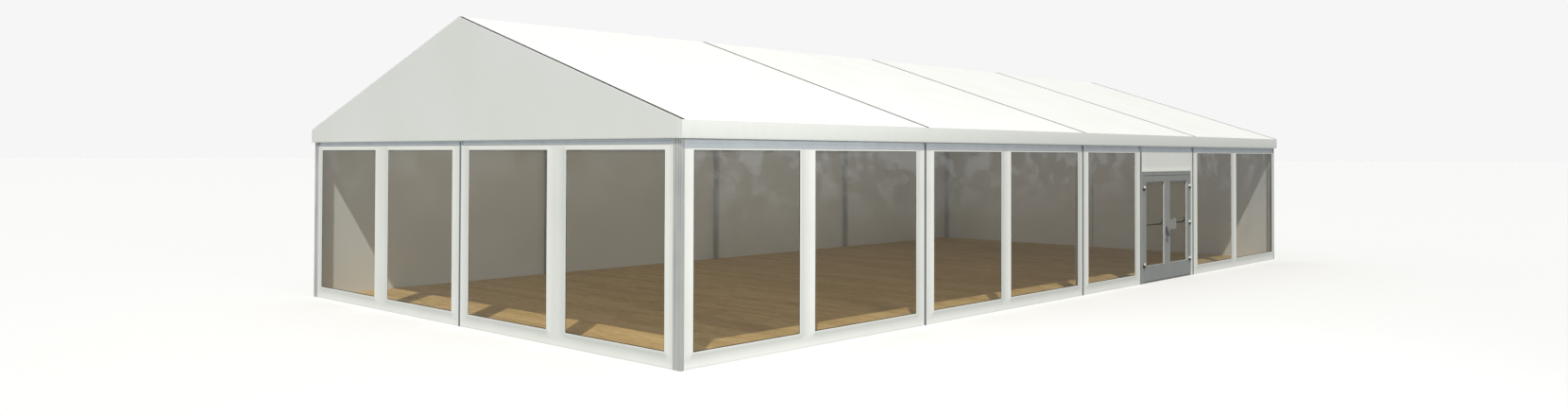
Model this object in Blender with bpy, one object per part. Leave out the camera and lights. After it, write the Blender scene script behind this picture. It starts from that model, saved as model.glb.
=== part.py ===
"""Clear-span marquee tent on aluminium portal frames, with window walls and a hinged double door.

X runs across the span, Y along the length and Z is up. The ground is z = 0 and the origin is
the middle of the floor at ground level. All sizes are in metres.
"""
import math

import bmesh
import bpy
from mathutils import Matrix, Vector

# Layout of the hall
HALF_SPAN = 5.0
BAY = 5.0
BAYS = 4
HALF_LENGTH = BAY * BAYS / 2
SEAT = 0.0003

# Roof: the top of the cover passes through the ridge and the top of the fascia
PITCH = math.radians(18.1)
FASCIA_REACH = 0.058
FASCIA_FOOT = 2.80
FASCIA_TOP = 3.026
GABLE_REACH = 0.039
SHEET = 0.003
RIDGE = FASCIA_TOP + (HALF_SPAN + FASCIA_REACH) * math.tan(PITCH)
COVER_DROP = SHEET / math.cos(PITCH)
TRAY_SKIN = 0.004
TRAY_LIP = 0.02

# Portal frames
LEG_DEPTH = 0.14
LEG_WIDTH = 0.06
RIB_WIDTH = 0.024
RIB_HEIGHT = 0.006

# Rails between the frames
RAIL_SET = 0.006
RAIL_DEPTH = 0.06
EAVE_RAIL_FOOT = 2.685
RAIL_TOP = 2.85
RIDGE_RAIL_WIDTH = 0.06
RIDGE_RAIL_HEIGHT = 0.08
RIDGE_RAIL_DROP = 0.036

# Gable posts and rails
GABLE_POST_WIDTH = 0.07
GABLE_POST_DEPTH = 0.06
GABLE_RAIL_FOOT = 2.733
GABLE_RAIL_SET = 0.012
GABLE_RAIL_DEPTH = 0.04

# Wall sheets and their clear windows
SHEET_SET = 0.006
WINDOW_FOOT = 0.20
WINDOW_HEAD = 2.66
FILM = 0.002
FILM_LAP = 0.03
GABLE_WINDOWS = ((-4.71, -2.705), (-2.265, -0.248), (0.226, 2.234), (2.67, 4.70))
SIDE_WINDOWS = {
    0: ((-9.786, -7.853), (-7.545, -5.222)),
    1: ((-4.76, -2.815), (-2.515, -0.18)),
    2: ((0.226, 2.18),),
    3: ((5.25, 7.21), (7.51, 9.866)),
}

# Floor
FLOOR = 0.022

# Door
DOOR_BAY = 2
DOOR_POST = (2.385, 2.485)
DOOR_POST_DEPTH = 0.07
FRAME_DEPTH = 0.07
FRAME_NEAR = DOOR_POST[1] + SEAT
FRAME_FAR = 4.88
FRAME_HEAD = 2.277
FRAME_HEAD_HEIGHT = 0.08
JAMB_NEAR = 2.565
JAMB_FAR = 4.805
THRESHOLD = 0.02
STOP_REACH = 0.015
STOP_DEPTH = 0.012
LEAF_THICKNESS = 0.05
LEAF_EDGE_GAP = 0.006
LEAF_MEETING_GAP = 0.010
LEAF_FOOT = 0.03
LEAF_HEAD = 2.19
HINGE_STILE = 0.115
MEETING_STILE = 0.135
GLASS_FOOT = 0.345
GLASS_HEAD = 2.065
GLASS = 0.006
GLASS_SET = 0.030
MEETING_LINE = (JAMB_NEAR + JAMB_FAR) / 2

# Hinges
KNUCKLE_RADIUS = 0.018
KNUCKLE_REACH = 0.020
KNUCKLE_HEIGHT = 0.045
KNUCKLE_GAP = 0.0003
KNUCKLE_STEPS = 16
FLAG_LENGTH = 0.048
FLAG_RISE = 0.006
FLAG_NEAR = 0.009
FLAG_SINK = 0.010
HINGES_NEAR = (0.37, 1.94)
HINGES_FAR = (0.37, 1.156, 1.94)

# Push bars on the inside of the leaves
BAR_HEIGHT = 1.166
BAR_STANDOFF = 0.065
BAR_RADIUS = 0.013
BAR_SIDES = 12
BAR_CLEARANCE = 0.0006
ARM_WIDTH = 0.012
ARM_THICKNESS = 0.020
PIVOT_RISE = 0.055
PIVOT_STANDOFF = 0.024
BRACKET_WIDTH = 0.03
BRACKET_HEIGHT = 0.11
BRACKET_REACH = 0.048

# Lock case inside the far leaf and pull handle outside the near leaf
CASE_FOOT = 1.04
CASE_HEAD = 1.25
CASE_FROM = 4.01
CASE_TO = 4.25
CASE_DEPTH = 0.035
CASE_NECK_FROM = 3.70
CASE_NECK_HEAD = 1.17
CASE_NECK_DEPTH = 0.022
HANDLE_NEAR = 3.555
HANDLE_FAR = 3.668
HANDLE_FOOT = 0.87
HANDLE_HEAD = 1.13
HANDLE_PLATE = 0.006
PADDLE_REACH = 0.052
PADDLE_FOOT = 0.965
PADDLE_THICKNESS = 0.014


def clear_scene():
    """Remove what the file holds."""
    for item in list(bpy.data.objects):
        bpy.data.objects.remove(item, do_unlink=True)


def finish(name, colour, roughness, metallic, alpha=1.0):
    """Return a material with one colour, given as linear red, green and blue."""
    material = bpy.data.materials.new(name)
    material.use_nodes = True
    shader = material.node_tree.nodes["Principled BSDF"]
    shader.inputs["Base Color"].default_value = (*colour, 1.0)
    shader.inputs["Roughness"].default_value = roughness
    shader.inputs["Metallic"].default_value = metallic
    shader.inputs["Alpha"].default_value = alpha
    return material


def cover_top(across):
    """Height of the top of the roof cover at a distance from the ridge line."""
    return RIDGE - abs(across) * math.tan(PITCH)


def cover_underside(across):
    """Height of the underside of the roof cover, less the seat under it."""
    return cover_top(across) - COVER_DROP - SEAT


def add_object(name, bm, material, origin=(0, 0, 0), parent=None):
    """Make an object from a mesh drawn in world places, with its own origin and parent."""
    bmesh.ops.recalc_face_normals(bm, faces=bm.faces)
    mesh = bpy.data.meshes.new(name)
    bm.to_mesh(mesh)
    bm.free()
    mesh.transform(Matrix.Translation(-Vector(origin)))
    if material:
        mesh.materials.append(material)
    item = bpy.data.objects.new(name, mesh)
    bpy.context.collection.objects.link(item)
    item.location = Vector(origin)
    if parent:
        item.parent = parent
        item.location = Vector(origin) - Vector(parent.location)
    return item


def prism(bm, outline, along, low, high):
    """Add a straight prism: an outline on the two other axes, carried along one axis."""
    others = [axis for axis in range(3) if axis != along]
    ends = []
    for level in (low, high):
        ring = []
        for first, second in outline:
            point = [0.0, 0.0, 0.0]
            point[along] = level
            point[others[0]] = first
            point[others[1]] = second
            ring.append(bm.verts.new(point))
        ends.append(ring)
    bm.faces.new(ends[0])
    bm.faces.new(ends[1])
    count = len(outline)
    for step in range(count):
        after = (step + 1) % count
        bm.faces.new((ends[0][step], ends[0][after], ends[1][after], ends[1][step]))
    return bm


def box(bm, low, high):
    """Add a box between two corners."""
    outline = [(low[0], low[1]), (high[0], low[1]), (high[0], high[1]), (low[0], high[1])]
    return prism(bm, outline, 2, low[2], high[2])


def pierced_plate(bm, along, low, high, first_lines, second_lines, holes):
    """Add a flat plate laid out on grid lines, without the cells whose middle lies in a hole."""
    others = [axis for axis in range(3) if axis != along]
    corners = {}

    def corner(row, column, level):
        key = (row, column, level)
        if key not in corners:
            point = [0.0, 0.0, 0.0]
            point[along] = level
            point[others[0]] = first_lines[row]
            point[others[1]] = second_lines[column]
            corners[key] = bm.verts.new(point)
        return corners[key]

    def solid(row, column):
        if not (0 <= row < len(first_lines) - 1 and 0 <= column < len(second_lines) - 1):
            return False
        first = (first_lines[row] + first_lines[row + 1]) / 2
        second = (second_lines[column] + second_lines[column + 1]) / 2
        return not any(a < first < b and c < second < d for a, b, c, d in holes)

    for row in range(len(first_lines) - 1):
        for column in range(len(second_lines) - 1):
            if not solid(row, column):
                continue
            ring = [(row, column), (row + 1, column), (row + 1, column + 1), (row, column + 1)]
            for level in (low, high):
                bm.faces.new([corner(*place, level) for place in ring])
            neighbours = [(row, column - 1), (row + 1, column), (row, column + 1), (row - 1, column)]
            for step, neighbour in enumerate(neighbours):
                if solid(*neighbour):
                    continue
                start = ring[step]
                end = ring[(step + 1) % 4]
                bm.faces.new((corner(*start, low), corner(*end, low),
                              corner(*end, high), corner(*start, high)))
    return bm


def combine(item, tool_mesh, operation, name):
    """Cut or join an object with a hidden tool, by an exact Boolean."""
    tool = add_object(name, tool_mesh, None)
    tool.hide_render = True
    tool.display_type = "WIRE"
    modifier = item.modifiers.new(operation.lower(), "BOOLEAN")
    modifier.operation = operation
    modifier.solver = "EXACT"
    modifier.object = tool


def frame_lines():
    """Return the places along Y of the middles of the portal frames."""
    end = HALF_LENGTH - LEG_WIDTH / 2
    inner = [-HALF_LENGTH + BAY * step for step in range(1, BAYS)]
    return [-end, *inner, end]


def bay_span(bay):
    """Return where a bay starts and ends along Y, between the faces of its two frames."""
    lines = frame_lines()
    return lines[bay] + LEG_WIDTH / 2 + SEAT, lines[bay + 1] - LEG_WIDTH / 2 - SEAT


def eave_rail_box(side, grow=0.0):
    """Return the low and high corners across X and Z of the eave rail on one side."""
    outer = HALF_SPAN - RAIL_SET + grow
    inner = HALF_SPAN - RAIL_SET - RAIL_DEPTH - grow
    low, high = sorted((side * outer, side * inner))
    return (low, EAVE_RAIL_FOOT - grow), (high, RAIL_TOP + grow)


def ridge_rail_box(grow=0.0):
    """Return the low and high corners across X and Z of the ridge rail."""
    top = RIDGE - COVER_DROP - RIDGE_RAIL_DROP
    half = RIDGE_RAIL_WIDTH / 2 + grow
    return (-half, top - RIDGE_RAIL_HEIGHT - grow), (half, top + grow)


def make_portal_frame(number, line, material):
    """Make legs and rafters as one bent profile, with a rib on the outside of the inner frames."""
    half = LEG_WIDTH / 2
    rib = RIB_WIDTH / 2
    inner_frame = abs(line) < HALF_LENGTH - LEG_WIDTH
    profile = [(LEG_DEPTH, -half), (LEG_DEPTH, half), (0.0, half)]
    if inner_frame:
        profile += [(0.0, rib), (-RIB_HEIGHT, rib), (-RIB_HEIGHT, -rib), (0.0, -rib)]
    profile.append((0.0, -half))
    bm = bmesh.new()
    rings = []
    for depth, across in profile:
        leg = HALF_SPAN - depth
        drop = depth / math.cos(PITCH)
        eave = cover_underside(leg) - drop
        apex = cover_underside(0.0) - drop
        path = [(-leg, 0.0), (-leg, eave), (0.0, apex), (leg, eave), (leg, 0.0)]
        rings.append([bm.verts.new((x, line + across, z)) for x, z in path])
    stations = len(rings[0])
    for step in range(len(rings)):
        ring = rings[step]
        after = rings[(step + 1) % len(rings)]
        for place in range(stations - 1):
            bm.faces.new((ring[place], ring[place + 1], after[place + 1], after[place]))
    bm.faces.new([ring[0] for ring in rings])
    bm.faces.new([ring[-1] for ring in rings])
    name = f"portal_frame_{number}"
    item = add_object(name, bm, material)
    if inner_frame:
        slots = bmesh.new()
        boxes = [eave_rail_box(-1, SEAT), eave_rail_box(1, SEAT), ridge_rail_box(SEAT)]
        for low, high in boxes:
            box(slots, (low[0], line - LEG_WIDTH, low[1]), (high[0], line + LEG_WIDTH, high[1]))
        combine(item, slots, "DIFFERENCE", f"{name}_slots")


def make_rails(material):
    """Make the two eave rails and the ridge rail, which run from end frame to end frame."""
    start = bay_span(0)[0]
    end = bay_span(BAYS - 1)[1]
    rails = {"eave_rail_left": eave_rail_box(-1), "eave_rail_right": eave_rail_box(1),
             "ridge_rail": ridge_rail_box()}
    for name, (low, high) in rails.items():
        add_object(name, box(bmesh.new(), (low[0], start, low[1]), (high[0], end, high[1])), material)


def make_gable_frame(name, end, material):
    """Make the middle post of a gable with the rail that it carries, as one piece."""
    half = GABLE_POST_WIDTH / 2
    outer = end * HALF_LENGTH
    inner = end * (HALF_LENGTH - GABLE_POST_DEPTH)
    low, high = sorted((outer, inner))
    post_head = cover_underside(half) - LEG_DEPTH / math.cos(PITCH) - SEAT
    item = add_object(name, box(bmesh.new(), (-half, low, 0.0), (half, high, post_head)), material)
    rail_outer = end * (HALF_LENGTH - GABLE_RAIL_SET)
    rail_inner = end * (HALF_LENGTH - GABLE_RAIL_SET - GABLE_RAIL_DEPTH)
    low, high = sorted((rail_outer, rail_inner))
    reach = HALF_SPAN - LEG_DEPTH - SEAT
    rail = box(bmesh.new(), (-reach, low, GABLE_RAIL_FOOT), (reach, high, RAIL_TOP))
    combine(item, rail, "UNION", f"{name}_rail")


def make_roof_cover(bay, material):
    """Make one bay of the roof cover, a bent sheet over the ridge between two frame ribs."""
    reach = HALF_SPAN + FASCIA_REACH
    outline = [(-reach, cover_top(reach)), (0.0, RIDGE), (reach, cover_top(reach)),
               (reach, cover_top(reach) - COVER_DROP), (0.0, RIDGE - COVER_DROP),
               (-reach, cover_top(reach) - COVER_DROP)]
    lines = frame_lines()
    start = lines[bay] + RIB_WIDTH / 2 + SEAT
    end = lines[bay + 1] - RIB_WIDTH / 2 - SEAT
    if bay == 0:
        start = -HALF_LENGTH - GABLE_REACH
    if bay == BAYS - 1:
        end = HALF_LENGTH + GABLE_REACH
    add_object(f"roof_cover_{bay + 1}", prism(bmesh.new(), outline, 1, start, end), material)


def make_fascia(name, side, material):
    """Make the long eave band, a shallow tray that is open towards the frames."""
    outer = HALF_SPAN + FASCIA_REACH
    inner = HALF_SPAN + RIB_HEIGHT + SEAT
    skin = outer - TRAY_SKIN
    end = HALF_LENGTH + GABLE_REACH
    outline = [(side * inner, FASCIA_FOOT), (side * outer, FASCIA_FOOT),
               (side * outer, cover_underside(outer)), (side * inner, cover_underside(inner))]
    item = add_object(name, prism(bmesh.new(), outline, 1, -end, end), material)
    mouth = inner - TRAY_SKIN
    pocket = [(side * mouth, FASCIA_FOOT + TRAY_SKIN), (side * skin, FASCIA_FOOT + TRAY_SKIN),
              (side * skin, cover_underside(skin) - TRAY_SKIN),
              (side * mouth, cover_underside(mouth) - TRAY_SKIN)]
    cutter = prism(bmesh.new(), pocket, 1, -end + TRAY_SKIN, end - TRAY_SKIN)
    combine(item, cutter, "DIFFERENCE", f"{name}_pocket")


def make_gable_infill(name, end, material):
    """Make the white gable triangle, a shallow tray that is open towards the end frame."""
    reach = HALF_SPAN + RIB_HEIGHT
    outer = end * (HALF_LENGTH + GABLE_REACH)
    back = end * (HALF_LENGTH + SEAT)
    outline = [(-reach, FASCIA_FOOT), (reach, FASCIA_FOOT), (reach, cover_underside(reach)),
               (0.0, cover_underside(0.0)), (-reach, cover_underside(reach))]
    low, high = sorted((outer, back))
    item = add_object(name, prism(bmesh.new(), outline, 1, low, high), material)
    inner = reach - TRAY_LIP
    drop = TRAY_LIP / math.cos(PITCH)
    pocket = [(-inner, FASCIA_FOOT + TRAY_LIP), (inner, FASCIA_FOOT + TRAY_LIP),
              (inner, cover_underside(inner) - drop), (0.0, cover_underside(0.0) - drop),
              (-inner, cover_underside(inner) - drop)]
    low, high = sorted((outer - end * TRAY_SKIN, back - end * TRAY_SKIN))
    combine(item, prism(bmesh.new(), pocket, 1, low, high), "DIFFERENCE", f"{name}_pocket")


def make_wall_sheet(name, along, side, span, head, windows, sheet_finish, film_finish):
    """Make one upright wall sheet with its windows cut through, and the clear film behind them."""
    face = HALF_SPAN if along == 0 else HALF_LENGTH
    outer = side * (face - SHEET_SET)
    back = side * (face - SHEET_SET - SHEET)
    low, high = sorted((outer, back))
    firsts = [span[0], *[edge for window in windows for edge in window], span[1]]
    seconds = [0.0, WINDOW_FOOT, WINDOW_HEAD, head] if windows else [0.0, head]
    holes = [(*window, WINDOW_FOOT, WINDOW_HEAD) for window in windows]
    sheet = pierced_plate(bmesh.new(), along, low, high, firsts, seconds, holes)
    add_object(name, sheet, sheet_finish)
    if not windows:
        return
    film_outer = back - side * SEAT
    film_back = film_outer - side * FILM
    low, high = sorted((film_outer, film_back))
    edges = (windows[0][0] - FILM_LAP, windows[-1][1] + FILM_LAP)
    outline = [(edges[0], WINDOW_FOOT - FILM_LAP), (edges[1], WINDOW_FOOT - FILM_LAP),
               (edges[1], WINDOW_HEAD + FILM_LAP / 2), (edges[0], WINDOW_HEAD + FILM_LAP / 2)]
    add_object(f"{name}_film", prism(bmesh.new(), outline, along, low, high), film_finish)


def make_walls(sheet_finish, film_finish):
    """Make window walls on the front gable and the right side, and plain ones opposite."""
    side_head = EAVE_RAIL_FOOT - SEAT
    gable_head = GABLE_RAIL_FOOT - SEAT
    for bay in range(BAYS):
        start, end = bay_span(bay)
        make_wall_sheet(f"side_wall_{bay + 1}", 0, -1, (start, end), side_head, (),
                        sheet_finish, film_finish)
        if bay == DOOR_BAY:
            end = DOOR_POST[0] - SEAT
        make_wall_sheet(f"window_wall_{bay + 1}", 0, 1, (start, end), side_head,
                        SIDE_WINDOWS[bay], sheet_finish, film_finish)
    near = GABLE_POST_WIDTH / 2 + SEAT
    far = HALF_SPAN - LEG_DEPTH - SEAT
    for place, span in {"left": (-far, -near), "right": (near, far)}.items():
        windows = GABLE_WINDOWS[:2] if place == "left" else GABLE_WINDOWS[2:]
        make_wall_sheet(f"gable_window_wall_{place}", 1, -1, span, gable_head, windows,
                        sheet_finish, film_finish)
        make_wall_sheet(f"gable_wall_{place}", 1, 1, span, gable_head, (),
                        sheet_finish, film_finish)


def make_floor(material):
    """Make the timber floor, notched round the legs, the gable posts and the door."""
    side = HALF_SPAN - SHEET_SET - SHEET - SEAT
    end = HALF_LENGTH - SHEET_SET - SHEET - SEAT
    leg = HALF_SPAN - LEG_DEPTH - SEAT
    corner = HALF_LENGTH - LEG_WIDTH - SEAT
    post = GABLE_POST_WIDTH / 2 + SEAT
    post_depth = HALF_LENGTH - GABLE_POST_DEPTH - SEAT
    door = HALF_SPAN - FRAME_DEPTH - SEAT
    door_near = DOOR_POST[0] - SEAT
    door_far = FRAME_FAR + SEAT
    frame_edges = [line + offset * (LEG_WIDTH / 2 + SEAT)
                   for line in frame_lines()[1:-1] for offset in (-1, 1)]
    xs = [-side, -leg, -post, post, leg, door, side]
    ys = sorted([-end, -corner, *frame_edges, door_near, door_far, corner, end])
    holes = [(door, side, door_near, door_far)]
    holes += [(-post, post, -end, -post_depth), (-post, post, post_depth, end)]
    for edges in [(-end, -corner), *zip(frame_edges[::2], frame_edges[1::2]), (corner, end)]:
        holes += [(-side, -leg, *edges), (leg, side, *edges)]
    floor = pierced_plate(bmesh.new(), 2, 0.0, FLOOR, xs, ys, holes)
    add_object("timber_floor", floor, material)


def make_door_surround(metal, sheet_finish):
    """Make the door post and the white sheet over and beside the door frame."""
    outer = HALF_SPAN
    notch = HALF_SPAN - RAIL_SET + SEAT
    outline = [(outer - DOOR_POST_DEPTH, 0.0), (outer, 0.0), (outer, RAIL_TOP), (notch, RAIL_TOP),
               (notch, EAVE_RAIL_FOOT - SEAT), (outer - DOOR_POST_DEPTH, EAVE_RAIL_FOOT - SEAT)]
    add_object("door_post", prism(bmesh.new(), outline, 1, *DOOR_POST), metal)
    face = HALF_SPAN - SHEET_SET
    far = bay_span(DOOR_BAY)[1]
    firsts = [FRAME_NEAR, FRAME_FAR + SEAT, far]
    seconds = [0.0, FRAME_HEAD + SEAT, EAVE_RAIL_FOOT - SEAT]
    hole = (FRAME_NEAR, FRAME_FAR + SEAT, 0.0, FRAME_HEAD + SEAT)
    sheet = pierced_plate(bmesh.new(), 0, face - SHEET, face, firsts, seconds, [hole])
    add_object("door_surround_sheet", sheet, sheet_finish)


def knuckle(bm, hinge_line, side, low, high):
    """Add a hinge barrel with its flag, in plan, sunk a little into the face that carries it.

    The barrel is a circle on the hinge line. The flag leaves it on the given side along Y.
    """
    def place(along, out):
        return HALF_SPAN + out, hinge_line + side * along

    def angle_of(along, out):
        return math.atan2(out - KNUCKLE_REACH, along)

    top_run = math.sqrt(KNUCKLE_RADIUS ** 2 - (KNUCKLE_REACH - FLAG_RISE) ** 2)
    low_rise = KNUCKLE_REACH - math.sqrt(KNUCKLE_RADIUS ** 2 - FLAG_NEAR ** 2)
    first = angle_of(top_run, FLAG_RISE)
    last = angle_of(FLAG_NEAR, low_rise) + 2 * math.pi
    outline = [place(FLAG_LENGTH, -FLAG_SINK), place(FLAG_LENGTH, FLAG_RISE)]
    for step in range(KNUCKLE_STEPS + 1):
        angle = first + (last - first) * step / KNUCKLE_STEPS
        outline.append(place(KNUCKLE_RADIUS * math.cos(angle),
                             KNUCKLE_REACH + KNUCKLE_RADIUS * math.sin(angle)))
    outline.append(place(FLAG_NEAR, -FLAG_SINK))
    return prism(bm, outline, 2, low, high)


def make_door_frame(metal):
    """Make the door frame: jambs, head and threshold with a stop behind the leaves."""
    back = HALF_SPAN - FRAME_DEPTH
    head = FRAME_HEAD - FRAME_HEAD_HEIGHT
    firsts = [FRAME_NEAR, JAMB_NEAR, JAMB_FAR, FRAME_FAR]
    seconds = [0.0, THRESHOLD, head, FRAME_HEAD]
    hole = (JAMB_NEAR, JAMB_FAR, THRESHOLD, head)
    ring = pierced_plate(bmesh.new(), 0, back, HALF_SPAN, firsts, seconds, [hole])
    item = add_object("door_frame", ring, metal)
    stop_near = JAMB_NEAR + STOP_REACH
    stop_far = JAMB_FAR - STOP_REACH
    stop_head = head - STOP_REACH
    firsts = [JAMB_NEAR - FLAG_SINK, stop_near, stop_far, JAMB_FAR + FLAG_SINK]
    seconds = [THRESHOLD - FLAG_SINK, stop_head, head + FLAG_SINK]
    stop_hole = (stop_near, stop_far, THRESHOLD, stop_head)
    stop = pierced_plate(bmesh.new(), 0, back + SEAT, back + STOP_DEPTH, firsts, seconds,
                         [stop_hole])
    combine(item, stop, "UNION", "door_frame_stop")
    knuckles = bmesh.new()
    for hinge_line, side, heights in ((JAMB_NEAR, -1, HINGES_NEAR), (JAMB_FAR, 1, HINGES_FAR)):
        for middle in heights:
            knuckle(knuckles, hinge_line, side, middle - KNUCKLE_HEIGHT, middle - KNUCKLE_GAP / 2)
    combine(item, knuckles, "UNION", "door_frame_knuckles")


def make_push_bar(name, span, leaf, metal):
    """Make a push bar with an arm at each end, its origin on the pivot line of the arms."""
    inside = HALF_SPAN - LEAF_THICKNESS
    bar_x = inside - BAR_STANDOFF
    pivot = (inside - PIVOT_STANDOFF, span[0], BAR_HEIGHT + PIVOT_RISE)
    outline = []
    for step in range(BAR_SIDES):
        angle = 2 * math.pi * (step + 0.5) / BAR_SIDES
        outline.append((bar_x + BAR_RADIUS * math.cos(angle), BAR_HEIGHT + BAR_RADIUS * math.sin(angle)))
    item = add_object(name, prism(bmesh.new(), outline, 1, *span), metal, pivot, leaf)
    run = Vector((pivot[0] - bar_x, pivot[2] - BAR_HEIGHT)).normalized()
    flank = Vector((-run.y, run.x)) * ARM_THICKNESS / 2
    start = Vector((bar_x, BAR_HEIGHT))
    end = Vector((pivot[0], pivot[2])) + run * ARM_THICKNESS / 2
    arm = [start - flank, end - flank, end + flank, start + flank]
    arms = bmesh.new()
    for low in (span[0] - SEAT, span[1] + SEAT - ARM_WIDTH):
        prism(arms, [tuple(point) for point in arm], 1, low, low + ARM_WIDTH)
    combine(item, arms, "UNION", f"{name}_arms")


def make_leaf(name, place, metal, clear):
    """Make one door leaf with its knuckles and bar brackets, and its pane of glass."""
    near = place == "left"
    hinge_line = JAMB_NEAR if near else JAMB_FAR
    inward = 1 if near else -1
    hinge_edge = hinge_line + inward * LEAF_EDGE_GAP
    meeting_edge = MEETING_LINE - inward * LEAF_MEETING_GAP / 2
    glass_edges = sorted((hinge_edge + inward * HINGE_STILE, meeting_edge - inward * MEETING_STILE))
    firsts = sorted([hinge_edge, *glass_edges, meeting_edge])
    seconds = [LEAF_FOOT, GLASS_FOOT, GLASS_HEAD, LEAF_HEAD]
    inside = HALF_SPAN - LEAF_THICKNESS
    hole = (*glass_edges, GLASS_FOOT, GLASS_HEAD)
    slab = pierced_plate(bmesh.new(), 0, inside, HALF_SPAN, firsts, seconds, [hole])
    axis_point = (HALF_SPAN + KNUCKLE_REACH, hinge_line, LEAF_FOOT)
    leaf = add_object(name, slab, metal, axis_point)
    knuckles = bmesh.new()
    for middle in HINGES_NEAR if near else HINGES_FAR:
        knuckle(knuckles, hinge_line, inward, middle + KNUCKLE_GAP / 2, middle + KNUCKLE_HEIGHT)
    combine(leaf, knuckles, "UNION", f"{name}_knuckles")

    pane_low = (inside + GLASS_SET - GLASS, glass_edges[0] + SEAT, GLASS_FOOT + SEAT)
    pane_high = (inside + GLASS_SET, glass_edges[1] - SEAT, GLASS_HEAD - SEAT)
    add_object(f"door_glass_{place}", box(bmesh.new(), pane_low, pane_high), clear, axis_point, leaf)

    bar_span = bar_run(place)
    bracket_low = BAR_HEIGHT + PIVOT_RISE - BRACKET_HEIGHT / 2
    brackets = bmesh.new()
    starts = [bar_span[1] + BAR_CLEARANCE]
    if near:
        starts.insert(0, bar_span[0] - BAR_CLEARANCE - BRACKET_WIDTH)
    for start in starts:
        box(brackets, (inside - BRACKET_REACH, start, bracket_low),
            (inside + FLAG_SINK, start + BRACKET_WIDTH, bracket_low + BRACKET_HEIGHT))
    combine(leaf, brackets, "UNION", f"{name}_brackets")
    make_push_bar(f"push_bar_{place}", bar_span, leaf, metal)
    return leaf


def bar_run(place):
    """Return where the push bar of a leaf starts and ends along Y."""
    if place == "left":
        return (JAMB_NEAR + LEAF_EDGE_GAP + HINGE_STILE / 2,
                MEETING_LINE - LEAF_MEETING_GAP / 2 - MEETING_STILE / 2)
    return CASE_TO + BAR_CLEARANCE, JAMB_FAR - LEAF_EDGE_GAP - HINGE_STILE / 2


def make_lock_case(leaf, metal):
    """Make the rim lock inside the far leaf, with the neck that fixes it to the stile."""
    inside = HALF_SPAN - LEAF_THICKNESS - SEAT
    origin = leaf.location
    neck = box(bmesh.new(), (inside - CASE_NECK_DEPTH, CASE_NECK_FROM, CASE_FOOT),
               (inside, CASE_FROM + SEAT, CASE_NECK_HEAD))
    item = add_object("lock_case", neck, metal, origin, leaf)
    body = box(bmesh.new(), (inside - CASE_DEPTH, CASE_FROM, CASE_FOOT - SEAT),
               (inside + SEAT / 2, CASE_TO, CASE_HEAD))
    combine(item, body, "UNION", "lock_case_body")
    ear_low = BAR_HEIGHT + PIVOT_RISE - BRACKET_HEIGHT / 2
    ear = box(bmesh.new(), (inside - BRACKET_REACH, CASE_TO - BRACKET_WIDTH, ear_low),
              (inside - CASE_DEPTH / 2, CASE_TO - SEAT, ear_low + BRACKET_HEIGHT))
    combine(item, ear, "UNION", "lock_case_ear")


def make_pull_handle(leaf, metal):
    """Make the sloping paddle handle on its plate, outside the near leaf."""
    face = HALF_SPAN + SEAT
    plate = box(bmesh.new(), (face, HANDLE_NEAR, HANDLE_FOOT),
                (face + HANDLE_PLATE, HANDLE_FAR, HANDLE_HEAD))
    item = add_object("pull_handle", plate, metal, leaf.location, leaf)
    sunk = face + HANDLE_PLATE / 2
    slope = [(sunk, HANDLE_HEAD - PADDLE_THICKNESS), (sunk, HANDLE_HEAD - 2 * PADDLE_THICKNESS),
             (HALF_SPAN + PADDLE_REACH - PADDLE_THICKNESS, PADDLE_FOOT),
             (HALF_SPAN + PADDLE_REACH, PADDLE_FOOT + PADDLE_THICKNESS / 2)]
    paddle = prism(bmesh.new(), slope, 1, HANDLE_NEAR + HANDLE_PLATE, HANDLE_FAR - HANDLE_PLATE)
    combine(item, paddle, "UNION", "pull_handle_paddle")


def main():
    """Build every piece of the tent."""
    clear_scene()
    metal = finish("mill_aluminium", (0.42, 0.45, 0.45), 0.4, 0.7)
    door_metal = finish("door_aluminium", (0.22, 0.23, 0.22), 0.45, 0.4)
    white = finish("coated_sheet", (0.80, 0.81, 0.77), 0.5, 0.0)
    cover = finish("roof_cover", (0.90, 0.90, 0.88), 0.5, 0.0)
    clear = finish("clear_film", (0.36, 0.34, 0.31), 0.08, 0.0, 0.35)
    oak = finish("oak_floor", (0.34, 0.22, 0.11), 0.5, 0.0)

    make_floor(oak)
    for number, line in enumerate(frame_lines(), start=1):
        make_portal_frame(number, line, metal)
    make_rails(metal)
    for bay in range(BAYS):
        make_roof_cover(bay, cover)
    for name, sign in {"left": -1, "right": 1}.items():
        make_fascia(f"eave_fascia_{name}", sign, white)
    for name, sign in {"front": -1, "back": 1}.items():
        make_gable_frame(f"gable_frame_{name}", sign, metal)
        make_gable_infill(f"gable_infill_{name}", sign, white)
    make_walls(white, clear)
    make_door_surround(metal, white)
    make_door_frame(door_metal)
    left = make_leaf("door_leaf_left", "left", door_metal, clear)
    right = make_leaf("door_leaf_right", "right", door_metal, clear)
    make_pull_handle(left, door_metal)
    make_lock_case(right, door_metal)


main()
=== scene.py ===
"""Dressed model of a clear-span marquee tent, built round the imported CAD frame.

X runs across the span, Y along the length and Z is up, in metres, with z = 0 on the ground. The
front gable faces -Y, and the side with the door faces +X. Every shape is worked out as whole
arrays: a profile carried along a path, or a surface on a grid of two parameters.
"""
from __future__ import annotations

import logging
import math
from dataclasses import dataclass
from enum import Enum
from typing import Any, Sequence

import bmesh
import bpy
import numpy as np
from mathutils import Matrix, Vector


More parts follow.
